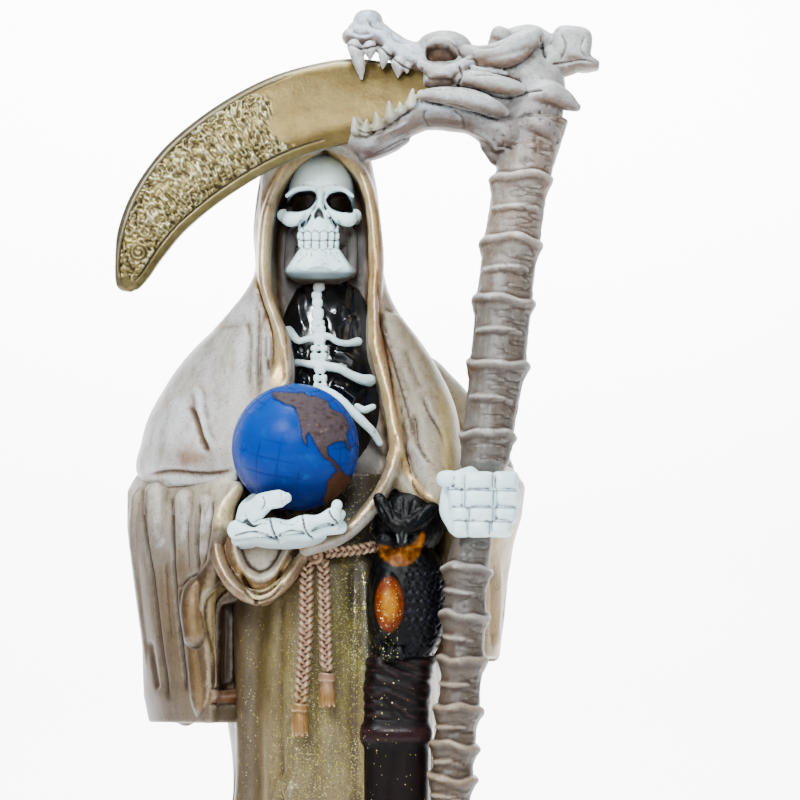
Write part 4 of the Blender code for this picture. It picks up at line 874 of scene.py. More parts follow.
def make_cloak():
    outer, hollow, clay = Clay(), Clay(), Clay()
    rows = smooth_path([(z, left, right, front_y, back_y) for z, left, right, front_y, back_y in CLOAK], 90)
    outer.loft([oval(z, left, right, front_y, back_y, 2.2, 144, ripple(1.1, 7, 0.6, back_only) if z < 450 else None,
                     np.interp(z, [400, 440, 456, 535, 563], [2.3, 3.0, 7.0, 7.0, 2.3])) for z, left, right, front_y,
                back_y in rows])
    down = [(x, z) for x, _, z in RIM_LEFT] + [(-38, 368), (-34, 352), (-20, 338)]
    up = [(x, z) for x, _, z in RIM_RIGHT[:0:-1]]
    hollow.loft([front_loop(down + up, y, grow) for y, grow in ((-130, 1), (-50, 0), (-34, -1.5), (-22, -4),
            (-14, -8))])
    shell, hole = outer.skin("cloak_guide").item, hollow.skin("opening_guide").item
    boolean = shell.modifiers.new("cut", "BOOLEAN")
    boolean.operation, boolean.object, boolean.solver = "DIFFERENCE", hole, "EXACT"
    settle(shell)
    bpy.data.objects.remove(hole)
    flat = np.empty(3 * len(shell.data.vertices))
    shell.data.vertices.foreach_get("co", flat)
    clay.points.extend(map(tuple, (flat.reshape(-1, 3) / MM).tolist()))
    clay.faces.extend(tuple(face.vertices) for face in shell.data.polygons)
    bpy.data.objects.remove(shell)
    for rim in (RIM_LEFT, RIM_RIGHT):
        clay.tube([(x, y + 4, z, 3.2) for x, y, z in rim], 18, 90, wide=2.0, across=(0, 1, 0))
    clay.loft([oval(z, left, right, front_y, back_y, 2.4, 48) for z, left, right, front_y,
               back_y in smooth_path(FALL, 40)])
    clay.tube([(48, 2, 416, 17), (66, 4, 396, 17), (80, 4, 372, 17)], 24, 20)
    clay.tube([(37, -60, 372, 4.5), (42, -62, 360, 5), (50, -64, 353, 5), (58, -62, 352, 5), (66, -52, 354, 5)], 14,
              40)
    # folded edges, standing out a little from the cloth
    clay.tube([(x - 4.5, y + 6, z, 2.6) for x, y, z in RIM_LEFT[4:]], 12, 40)
    clay.tube([(x + 3 + 1.0 * k, y + 5, z, 1.4 + 0.5 * min(k, 3)) for k, (x, y, z) in enumerate(RIM_RIGHT[4:9])], 12,
              50)
    skin = clay.skin("cloak", 1.25, 2)
    for rows, width, height in (
            ([(257, 281), (258.5, 291), (262, 304), (267, 316), (271, 333), (272, 350), (271, 378)], 1.9, -1.5),
            ([(262.4, 307), (265, 324), (265.5, 345), (268, 362), (271, 377)], 1.8, -1.1),
            ([(255.5, 300), (260, 319), (259.5, 342), (258.6, 366), (260, 380), (258.6, 396)], 2.4, -1.4),
            ([(247, 318), (251, 345), (249, 370), (252, 392)], 3.0, -0.8),
            ([(195, 383), (199.6, 400), (201, 415), (207, 438), (216, 452)], 4.0, 2.0),
            ([(189, 404), (196, 420), (201, 438), (209, 453)], 3.4, -1.7),
            ([(176, 395), (180, 420), (184, 440), (178, 455)], 6, 0.9),
            ([(150, 474), (172, 472), (195, 474), (215, 474), (232, 470)], 2.6, -2.4),
            ([(382.5, 312), (385, 330), (391, 351), (402, 388), (409.6, 416), (411.8, 433)], 1.7, -1.2),
            ([(377, 262), (379.5, 300), (381, 320), (386, 344), (392, 377), (396, 402), (401, 428)], 1.5, -1.0),
            ([(421.6, 394), (430, 413.7), (441, 431), (446, 448)], 2.4, -1.3),
            ([(414.5, 414), (417, 442), (424, 456), (432, 465)], 1.8, -1.5),
            ([(404, 345), (414, 372), (424, 392)], 4, -0.8),
            ([(262, 172), (257, 200), (256.5, 235), (257, 270)], 3.0, -0.8)):
        skin.stroke(rows, width, height, y=(-75, 30))
    skin.stroke(CREAM_LEFT, 3.6, 1.1, y=(-75, -30))
    skin.stroke(CREAM_RIGHT, 3.4, 1.3, y=(-85, -30))
    skin.stroke(GREY_RIGHT, 1.8, -0.9, y=(-75, -30))
    skin.stroke(INNER_LEFT, 1.3, -0.8, y=(-75, -30))
    skin.stroke(SECOND_RIGHT, 2.2, 1.1, y=(-90, -30))
    skin.move(skin.normals * (0.35 * noise(skin.points, 14, 4) + 0.12 * noise(skin.points, 3.5, 6))[:, None])
    cloth_paint(skin, 0)
    u, v, x, y, z = skin.u, skin.v, *skin.points.T
    fronts = skin.seen(0.0)
    right = step(375, 395, u) * (v > 200)
    skin.mix(rgb(160, 148, 126), 0.85 * right)
    skin.mix(rgb(196, 186, 164), 0.45 * right * step(0.1, 0.6, noise(skin.points, 12, 15)))
    skin.mix(rgb(176, 172, 166), 0.6 * skin.area([(404, 440), (415, 447), (424, 462), (428, 480), (418, 478),
                                                  (410, 465)], 5) * fronts)
    skin.mix(rgb(148, 108, 72), 0.85 * skin.area([(181, 455), (192, 452), (201, 456), (198, 463), (184, 464)], 5)
             * fronts)
    skin.mix(rgb(150, 132, 118), 0.5 * skin.area([(165, 452), (190, 446), (228, 452), (230, 470), (170, 471)], 9)
             * fronts)
    skin.mix(rgb(166, 148, 122), 0.6 * skin.band([(268, 300), (262, 340), (263, 390)], 11, 9) * fronts)
    # dark lines in the fold grooves and along the crease: painted shade
    skin.mix(rgb(96, 72, 48), 0.75 * skin.band([(259, 364), (259.6, 380), (258.8, 394)], 1.2, 3) * fronts)
    skin.mix(rgb(110, 88, 66), 0.6 * skin.band([(150, 474), (172, 472), (195, 474), (215, 474), (232, 470)], 1.2,
                                               2.2) * fronts)
    for rows in ([(382.5, 312), (385, 330), (391, 351), (402, 388), (409.6, 416), (411.8, 433)],
                 [(414.5, 414), (417, 442), (424, 456), (432, 465)],
                 [(257, 281), (258.5, 291), (262, 304), (267, 316), (271, 333), (272, 350), (271, 378)]):
        skin.mix(rgb(88, 68, 48), 0.7 * skin.band(rows, 0.5, 1.2) * fronts)
    # the inside of the hood: a dark lining colour with painted shade, and painted light on its lower part where it
    # does not turn sideways
    opening = skin.area([(319, 160), (296, 168), (284, 186), (277, 212), (275, 262), (285, 305), (290, 352),
                         (290, 400), (240, 470), (260, 520), (320, 520),
                         (372, 480), (380, 440), (372, 400), (362, 346), (359, 316), (363, 281), (366, 235),
                         (362, 195), (345, 168)], 2) * step(-46, -42, y) * step(-2, -8, y)
    skin.mix(LINING_AND_SHADE, opening)
    skin.mix(rgb(120, 112, 104), 0.8 * opening * step(0.35, 0.0, np.abs(skin.normals[:, 0])) * step(350, 420, v))
    # painted edges
    near = (y < -28) & fronts
    skin.mix(rgb(150, 140, 126), 0.9 * skin.band(INNER_LEFT, 4.2) * near)
    skin.mix(rgb(186, 160, 124), 0.9 * skin.band(CREAM_LEFT, 9, 1.5) * near)
    skin.mix(GOLD_PALE, 0.95 * skin.band(CREAM_LEFT, 5.4, 2.4) * near * step(-0.4, 0.35, noise(skin.points, 9, 31)))
    skin.set(skin.band(CREAM_LEFT, 8) * near, metal=0.35, rough=0.33)
    skin.mix(rgb(186, 176, 164), 0.9 * skin.band(GREY_RIGHT, 5.2) * near)
    skin.mix(rgb(178, 140, 104), 0.85 * skin.band(ORANGE_RIGHT, 4.6) * near)
    skin.mix(rgb(206, 172, 124), 0.95 * skin.band(CREAM_RIGHT, 6.4) * near)
    skin.mix(GOLD_PALE, 0.95 * skin.band(CREAM_RIGHT, 4.2, 2) * near * step(-0.45, 0.3, noise(skin.points, 8, 33)))
    skin.set(np.maximum(skin.band(CREAM_RIGHT, 7), skin.band(ORANGE_RIGHT, 4)) * near, metal=0.4, rough=0.3)
    bottom = skin.band([(386, 468), (373, 498), (360, 512), (343, 527), (318, 539)], 7.5) * near
    skin.mix(rgb(170, 152, 128), 0.8 * bottom)
    skin.mix(rgb(216, 196, 164), 0.8 * skin.band([(392, 440), (384, 476), (363, 511), (347, 527), (317, 539)], 2.6)
             * near)
    skin.set(bottom, metal=0.6, rough=0.32)
    skin.mix(rgb(222, 194, 150), 0.9 * skin.band(SECOND_RIGHT, 3.6) * near)
    skin.set(skin.band(SECOND_RIGHT, 4) * near, metal=0.45, rough=0.3)
    wash_shade_and_highlight(skin, 4, 0.9, rgb(74, 54, 38), 0.28, CLOTH_PALE, 0.3)
    wash_shade_and_highlight(skin, 10, 0.6, rgb(100, 78, 56), 0.5)
    tone = np.array([0.90, 1.0, 1.2]) * step(300, 240, u)[:, None] + np.array([0.66, 0.68, 0.72]) * step(240, 300,
            u)[:, None]
    tone = tone * (1 - 0.28 * step(215, 260, u) * step(330, 260, u) * step(300, 200, v))[:, None]
    gold = skin.area([(438, 392), (448, 392), (470, 470), (446, 476)], 4) * fronts
    skin.mix(rgb(196, 180, 140), 0.8 * gold)
    skin.mix(rgb(120, 92, 56), 0.7 * gold * step(0.25, 0.6, noise(skin.points, 2.4, 44)))
    skin.finish(MATERIALS["cloth"], "figure", "robe", tone)


def make_robe():
    clay = Clay()
    rows = smooth_path(ROBE, 70)
    clay.loft([oval(z, left, right, front_y, back_y, 2.2, 120,
                    ripple(0.6 + 2.6 * max(0.0, (330 - z) / 330) ** 1.2, 9, 0.4))
               for z, left, right, front_y, back_y in rows])
    rows = smooth_path(BACK, 80)
    clay.loft([oval(z, left, right, -12, edge, 2.6, 120, ripple(1.2 + 3.0 * max(0.0, (430 - z) / 430), 8, 1.1,
            back_only))
               for z, left, right, edge in rows])
    skin = clay.skin("robe", 1.75, 3)
    for x0, x1, height, width in ((-27, -33, -2.6, 4.0), (-16, -20, -2.0, 2.4), (17, 24, -2.4, 3.4),
                                  (-36, -46, 2.0, 5), (-8, -10, 1.2, 5), (4, 8, 1.3, 5.5)):
        # long folds down the front, in millimetres
        z = skin.points[:, 2]
        middle = x0 + (x1 - x0) * np.clip((326 - z) / 300, 0, 1) + 1.5 * np.sin(z / 37 + x0)
        reach = step(332, 316, z) * step(18, 40, z)
        push = height * np.exp(-(((skin.points[:, 0] - middle) / width) ** 2)) * reach * skin.seen(0.1, (-1e3, 0))
        skin.move(skin.normals * push[:, None])
    skin.stroke([(283, 776), (275, 800), (266, 840), (254, 920), (238, 1020)], 5, 2.4, taper=0.1)
    skin.stroke([(283, 776), (291, 800), (300, 840), (312, 920), (326, 1020)], 5, 2.4, taper=0.1)
    skin.move(skin.normals * (0.5 * noise(skin.points * np.array([1, 1, 0.3]), 12, 41)
                              + 0.15 * noise(skin.points * np.array([1, 1, 0.4]), 4, 42))[:, None])
    x, y, z = skin.points.T
    u, v = skin.u, skin.v
    cloth_paint(skin, 50, 0.6)
    tunic = step(8, -2, y) * step(40, 15, np.abs(x - 10) - 30 - 0.06 * (330 - z))
    skin.mix(rgb(138, 122, 94), 0.95 * tunic)
    skin.mix(rgb(104, 92, 62), 0.7 * tunic * step(-0.2, 0.6, noise(skin.points * np.array([1, 1, 0.3]), 22, 61)))
    skin.mix(rgb(176, 162, 132), 0.55 * tunic * step(0.15, 0.65, noise(skin.points * np.array([1, 1, 0.25]), 13, 62)))
    # the tunic darker in its folds: brown wash and painted shade
    skin.mix(rgb(84, 62, 40), tunic * 0.85 * step(0.1, 1.3, skin.hollow(20)))
    dark = skin.area([(330, 545), (372, 545), (372, 660), (366, 700), (352, 640), (340, 590)], 12) * tunic
    skin.mix(rgb(70, 62, 34), 0.7 * dark)
    # the tunic under the cloak's edge, above the belt, darker: painted shade
    skin.mix(rgb(58, 44, 34), 0.85 * tunic * step(566, 548, v) * step(300, 310, u))
    # black round the owl, under the cape: painted shadow
    around = skin.area([(368, 520), (380, 498), (400, 488), (440, 486), (452, 560), (450, 668), (376, 668),
                        (366, 620), (368, 570)], 7) * step(-34, -46, y)
    skin.mix(rgb(12, 12, 14), 0.97 * around)
    skin.mix(rgb(26, 18, 17), 0.95 * skin.area([(408, 655), (460, 655), (462, 900), (408, 900)], 4)
             * step(-34, -46, y))
    # the left part of the tunic, under the sleeve, darker: painted shade
    skin.mix(rgb(104, 90, 72), 0.8 * tunic * step(266, 246, u))
    heart = np.exp(-(((u - 335) / 46) ** 2) - ((v - 670) / 110) ** 2)
    streaks = step(-0.3, 0.4, noise(skin.points * np.array([1, 1, 0.35]), 9, 67))
    skin.spark[:] = np.clip(tunic * (0.06 + 1.0 * heart * (0.35 + 0.65 * streaks)
                                     + 0.2 * step(700, 760, v) * step(250, 300, u)), 0, 1)
    skin.mix(rgb(140, 132, 40), 0.55 * tunic * heart * step(-0.1, 0.5, noise(skin.points, 6, 66)))
    skin.rough[:] = 0.45
    wash_shade_and_highlight(skin, 5, 0.5, rgb(78, 56, 36), 0.5)
    skin.finish(MATERIALS["robe"], "figure", "robe", (0.66, 0.68, 0.72))


def sleeve_clay(levels, sides=80, count=46):
    clay = Clay()
    heights = sorted(levels)
    loops = [smooth_path([(x, y, 0) for x, y in [*levels[z], levels[z][0]]], sides + 1)[:-1, :2] for z in heights]
    fine = []
    for t in np.linspace(0, len(heights) - 1, count):
        i = min(int(t), len(heights) - 2)
        mix = loops[i] * (1 - t + i) + loops[i + 1] * (t - i)
        z = heights[i] * (1 - t + i) + heights[i + 1] * (t - i)
        fine.append([(x, y, z) for x, y in mix])
    clay.loft(fine)
    return clay


BAND_LEFT = [(232, 488), (220, 503), (214, 518), (212, 535), (209, 550), (207.5, 560), (199, 573), (181, 585),
             (179, 599), (184, 635), (188, 667), (191.5, 699), (196, 714),
             (199, 715), (209, 697), (209.6, 656), (203, 630), (203, 599), (220, 581.5), (232, 567), (230, 554),
             (233, 539), (235, 518), (244, 496), (240, 484)]
STRIP_LEFT = [(221, 583.6), (231, 589), (217, 606), (216, 650), (216, 684), (210, 688), (210.7, 658), (204, 630),
              (204, 601)]
RECESS_LEFT = [(218, 612), (221, 605), (230, 602), (243, 604), (246, 640), (245, 688), (232, 687), (217, 688),
               (217, 650)]


def make_sleeve_left():
    clay = sleeve_clay(SLEEVE_LEFT)

    def lobe(*rows, **options):
        clay.tube([(*front(u, v, y), r) for u, v, y, r in rows], 18, 50, **options)

    # rounded folds that hang from the arm
    lobe((145, 500, -21, 7.0), (144, 530, -21, 7.4), (147, 570, -21, 7.0), (153, 620, -20, 6.5), (160, 680, -19, 6.0),
         (166, 712, -18, 5.0))
    lobe((158, 494, -34.5, 6.5), (159, 512, -34.5, 7.6), (162, 545, -34.5, 7.2), (165, 585, -34, 6.6),
         (170, 630, -33, 6.4), (178, 680, -31.5, 6.0), (186, 716, -30, 5.0))
    lobe((186, 500, -45.0, 5.6), (186, 516, -45.0, 6.6), (186, 545, -44.5, 6.4), (187, 572, -44, 6.0),
         (186, 588, -43, 4.4))
    lobe((207, 502, -57.0, 4.2), (206, 520, -57.0, 4.8), (204.5, 545, -55, 4.2), (203, 564, -52, 2.6))
    clay.tube(spots(-62, (236, 488, 3.4), (226, 503, 4.4), (222, 520, 4.8), (221, 540, 4.8), (219, 560, 4.4)), 14, 40)
    clay.tube(spots(-58, (221, 556, 4.6), (212, 574, 4.6), (196, 590, 4.6), (193, 606, 5.2), (195, 635, 5.4)), 14, 40)
    clay.tube(spots(-50, (195, 630, 6.4), (200, 660, 6.4), (201, 690, 5.4), (200, 708, 3.4)), 14, 40)
    skin = clay.skin("sleeve_left", 0.9, 3)
    skin.press(RECESS_LEFT, 7, 3.5, y=(-70, 10))
    skin.press(STRIP_LEFT, 3.2, 2.5, y=(-75, 10))
    for rows, width, height in (
            ([(144.7, 496), (145.2, 528), (149, 556), (153.4, 581), (157, 611), (162, 650), (169, 700)], 1.8, -1.5),
            ([(172.6, 500), (172.8, 539), (174, 570), (177, 600), (181, 640), (187, 690)], 1.7, -1.4),
            ([(200, 505), (197.5, 535), (197, 552), (199, 569)], 1.5, -1.4),
            ([(213, 503), (210.5, 525), (209, 545), (205, 565)], 1.5, -1.4),
            ([(150, 640), (153, 660), (158, 690)], 2.4, -1.4),
            ([(165, 560), (167, 600), (171, 640)], 2.0, -0.8),
            ([(188, 520), (188, 545), (189, 570)], 1.4, -0.5),
            ([(199, 573), (188, 580), (180, 588)], 2.0, -1.6),
            ([(226, 612), (226, 640), (225, 685)], 1.6, -1.1),
            ([(236, 612), (237, 640), (237, 685)], 1.6, -1.1),
            ([(231, 610), (231, 650), (231, 684)], 1.8, 0.8),
            ([(210, 689), (226, 688), (245, 687)], 1.3, -1.4),
            ([(210, 704), (226, 704), (245, 703)], 1.3, -1.2),
            ([(210, 696), (226, 696), (245, 695)], 4.0, 1.0)):
        skin.stroke(rows, width, height, y=(-80, 20), taper=0.12)
    raised = skin.area(BAND_LEFT, 1.2) * skin.seen(0.0, (-90, 0))
    skin.move(skin.normals * (0.9 * raised)[:, None])
    skin.move(skin.normals * (0.3 * noise(skin.points, 12, 71) + 0.1 * noise(skin.points, 3, 72))[:, None])
    cloth_paint(skin, 70, 0.8)
    u, v = skin.u, skin.v
    fronts = skin.seen(0.0)
    skin.mix(rgb(158, 138, 110), 0.75 * step(500, 640, v) * step(-0.5, 0.5,
            noise(skin.points * np.array([1, 1, 0.3]), 20, 75)))
    skin.mix(rgb(168, 152, 126), 0.55 * step(560, 640, v))
    # darker in the hollows: brown wash and painted shade
    skin.mix(rgb(96, 74, 54), 0.75 * step(0.15, 1.6, skin.hollow(16)))
    # brown lines down the fold valleys: painted shade
    for rows, width, soft, strength in (([(144.7, 492), (145.2, 528), (149, 556), (153.4, 581), (157, 611),
                                          (162, 650), (169, 700)], 0.6, 4.0, 0.7),
                                        ([(172.6, 500), (172.8, 539), (174, 570), (177, 600), (181, 640), (187, 690)],
                                         0.6, 3.2, 0.7),
                                        ([(200, 505), (197.5, 535), (197, 552), (199, 569)], 0.5, 2.6, 0.75),
                                        ([(213, 503), (210.5, 525), (209, 545), (205, 565)], 0.5, 2.2, 0.75),
                                        ([(150, 640), (153, 660), (158, 690)], 1.0, 4, 0.6),
                                        ([(199, 573), (188, 580), (180, 588)], 0.5, 2.4, 0.7)):
        skin.mix(rgb(70, 50, 34), strength * skin.band(rows, width, soft) * fronts)
    # painted shade: darker towards the bottom, where less light falls, and on the left where the sleeve turns away
    skin.shade(np.interp(v, [480, 520, 560, 600, 660], [0.92, 0.60, 0.40, 0.36, 0.32]))
    skin.mix(rgb(84, 66, 50), 0.6 * step(0.75, 0.35, skin.facing) * step(185, 165, u) * fronts)
    # pale streaks down the tops of the upper folds: painted highlight
    for rows in ([(157, 494), (157, 515), (161, 545)], [(186, 500), (185, 520), (184, 535)],
                 [(207, 503), (205, 525), (203, 550)]):
        skin.mix(rgb(212, 212, 214), 0.6 * skin.band(rows, 2, 6) * fronts
                 * step(-0.4, 0.4, noise(skin.points, 5, 79)))
    skin.mix(rgb(128, 100, 70), 0.5 * skin.band([(178, 540), (180, 580), (172, 600)], 4, 7)
             * step(0.0, 0.6, noise(skin.points, 3, 78)) * fronts)
    strip = skin.area(STRIP_LEFT, 1.2) * fronts
    skin.mix(rgb(150, 140, 116), 0.9 * strip)
    recess = skin.area(RECESS_LEFT, 1.6) * fronts
    skin.mix(rgb(122, 106, 84), 0.8 * recess)
    # the upper part of the recess nearly black: painted shade; then a pale line down the rib in it: painted highlight
    skin.mix(rgb(30, 24, 20), recess * step(632, 603, v))
    skin.mix(rgb(168, 172, 176), 0.4 * recess * skin.band([(230, 612), (231, 640), (231, 670)], 0.6, 1.2))
    hem = skin.area([(210, 689), (245, 687), (246, 703), (210, 704)], 1.0, smooth=False) * fronts
    skin.mix(rgb(112, 84, 60), 0.9 * hem)
    band = skin.area(BAND_LEFT, 1.3) * fronts
    skin.mix(rgb(96, 82, 66), 0.95 * band)
    skin.mix(rgb(66, 48, 34), 0.8 * band * step(530, 548, v) * step(600, 570, v))
    # the top and the lower part of the band lighter where they face forward: painted highlight
    skin.mix(rgb(222, 208, 178), 0.9 * band * step(531, 520, v) * step(0.1, 0.55, skin.facing))
    skin.mix(rgb(176, 152, 112), 0.6 * band * step(590, 620, v) * step(0.3, 0.8, skin.facing))
    skin.set(np.maximum(band, hem), metal=0.3, rough=0.36)
    pipe = band * step(560, 585, v)
    skin.mix(rgb(82, 70, 56), 0.95 * pipe)
    # the pipe lighter where it faces the viewer and darker where it turns away: painted light and painted shade
    skin.mix(rgb(150, 134, 108), 0.5 * pipe * step(0.75, 0.98, skin.facing))
    skin.mix(rgb(58, 44, 32), 0.7 * pipe * step(0.7, 0.3, skin.facing))
    # the whole recess darker: painted shade
    skin.mix(rgb(62, 48, 38), 0.85 * recess)
    skin.colour *= 1 - step(520, 600, v)[:, None] * np.array([0.04, 0.12, 0.2])
    wash_shade_and_highlight(skin, 5, 0.8, rgb(62, 46, 32), 0.3, rgb(206, 200, 190), 0.3)
    skin.finish(MATERIALS["cloth"], "figure", "robe")


def make_sleeve_right():
    skin = sleeve_clay(SLEEVE_RIGHT).skin("sleeve_right", 1.2, 3)
    for rows, width, height in (([(492, 560), (494, 600), (493, 650)], 3.0, -1.6),
                                ([(505, 560), (503, 600), (500, 640)], 2.4, -1.2),
                                ([(484, 575), (484, 620), (482, 660)], 3.0, -1.4),
                                ([(498, 556), (499, 600), (497, 650)], 3.0, 1.3)):
        skin.stroke(rows, width, height)
    # folds down the outer and back sides
    turn = np.arctan2(skin.points[:, 1] - 2, skin.points[:, 0] - 76)
    outside = step(-0.6, -0.1, turn) * step(346, 330, skin.points[:, 2])
    skin.move(skin.normals * (1.4 * np.sin(turn * 7) * outside)[:, None])
    skin.move(skin.normals * (0.3 * noise(skin.points, 12, 81) + 0.1 * noise(skin.points, 3, 82))[:, None])
    cloth_paint(skin, 80, 0.7)
    skin.mix(rgb(166, 146, 112), 0.75)
    skin.mix(rgb(196, 178, 140), 0.5 * step(0.0, 0.6, noise(skin.points * np.array([1, 1, 0.4]), 12, 83)))
    skin.mix(rgb(122, 112, 104), 0.8 * step(545, 500, skin.v))
    # painted shade: dark where the inner side turns away, near black on the underside
    skin.mix(rgb(66, 50, 38), step(0.4, -0.2, skin.facing) * step(-40, -30, skin.points[:, 1])
             * step(490, 482, skin.u) * 0.8)
    skin.mix(rgb(30, 22, 18), step(-0.8, -0.95, skin.normals[:, 2]) * 0.9)
    wash_shade_and_highlight(skin, 4, 0.6, rgb(80, 58, 38), 0.35)
    skin.finish(MATERIALS["cloth"], "figure", "robe")


def make_cuff():
    clay = Clay()
    clay.ball((-27, -56, 328), (21, 17, 23), sides=36)
    clay.tube(spots(-66, (231, 541, 2.0), (237, 562, 2.4), (250, 580, 2.8), (260, 587, 3.0), (276, 578, 2.8),
                    (286, 560, 2.2), (290, 549, 1.6)), 14, 50)
    clay.tube(spots(-67, (236, 566, 2.4), (244, 590, 3.0), (258, 599, 3.4), (272, 594, 3.2), (283, 576, 2.6),
                    (290, 558, 1.8)), 14, 50)
    clay.tube([(-47, -62, 344, 3), (-46, -68, 326, 3.2), (-38, -72, 312, 3.4), (-27, -72, 307, 3.6),
               (-15, -72, 313, 3.4), (-7, -70, 325, 3)], 14, 50)
    skin = clay.skin("cuff", 0.7, 2)
    skin.press([(233, 536), (236, 556), (245, 572), (259, 579), (273, 573), (284, 557), (289, 540), (262, 534)], 7, 7,
               y=(-90, -40))
    skin.stroke([(240, 572), (250, 588), (260, 593.5), (273, 587), (284, 568)], 1.5, -2.0)
    skin.stroke([(243, 586), (251, 598), (259, 601.5), (271, 598), (283, 582)], 1.4, -1.0)
    skin.move(skin.normals * (0.2 * noise(skin.points, 8, 91))[:, None])
    cloth_paint(skin, 90, 0.6)
    u, v = skin.u, skin.v
    fronts = skin.seen(0.0)
    skin.mix(rgb(112, 90, 66), 0.85)
    inner = skin.area([(233, 538), (237, 560), (247, 575), (260, 582), (274, 576), (285, 559), (290, 542),
                       (262, 536)], 2) * fronts
    skin.mix(rgb(196, 188, 176), 0.85 * inner)
    skin.mix(rgb(214, 208, 196), 0.9 * inner * step(556, 577, v) * step(255, 263, u) * step(282, 272, u))
    # the top of the inner bowl, under its rim, darker: painted shade
    skin.mix(rgb(96, 74, 54), 0.85 * inner * step(557, 543, v))
    roll = skin.band([(238, 566), (250, 583), (260, 588), (275, 581), (286, 562)], 3.2, 2) * fronts
    skin.mix(rgb(158, 136, 102), 0.8 * roll)
    skin.mix(rgb(196, 180, 146), 0.8 * skin.band([(252, 597), (262, 596), (273, 590), (283, 578)], 3, 2) * fronts)
    skin.set(step(0.0, 0.6, 1 - inner) * fronts, metal=0.5, rough=0.32)
    wash_shade_and_highlight(skin, 12, 0.9, rgb(70, 50, 34), 0.5, rgb(236, 226, 204), 0.4)
    wash_shade_and_highlight(skin, 4, 0.9, rgb(60, 42, 28), 0.2)
    # a dark line in the groove between the rolls: painted shade
    skin.mix(rgb(60, 42, 28), 0.75 * skin.band([(254, 592), (263, 592.5), (275, 586)], 0.6, 1.5) * fronts)
    skin.finish(MATERIALS["cloth"], "figure", "robe")


def hand_paint(skin, seed):
    skin.colour[:] = rgb(226, 236, 238)
    skin.rough[:] = 0.4
    skin.mix(rgb(246, 252, 254), 0.6 * step(-0.1, 0.5, noise(skin.points, 5, seed)))
    wash_shade_and_highlight(skin, 8, 1.0, rgb(44, 42, 38), 0.42, rgb(250, 254, 255), 0.5)
    wash_shade_and_highlight(skin, 3, 0.9, rgb(44, 42, 40), 0.12)


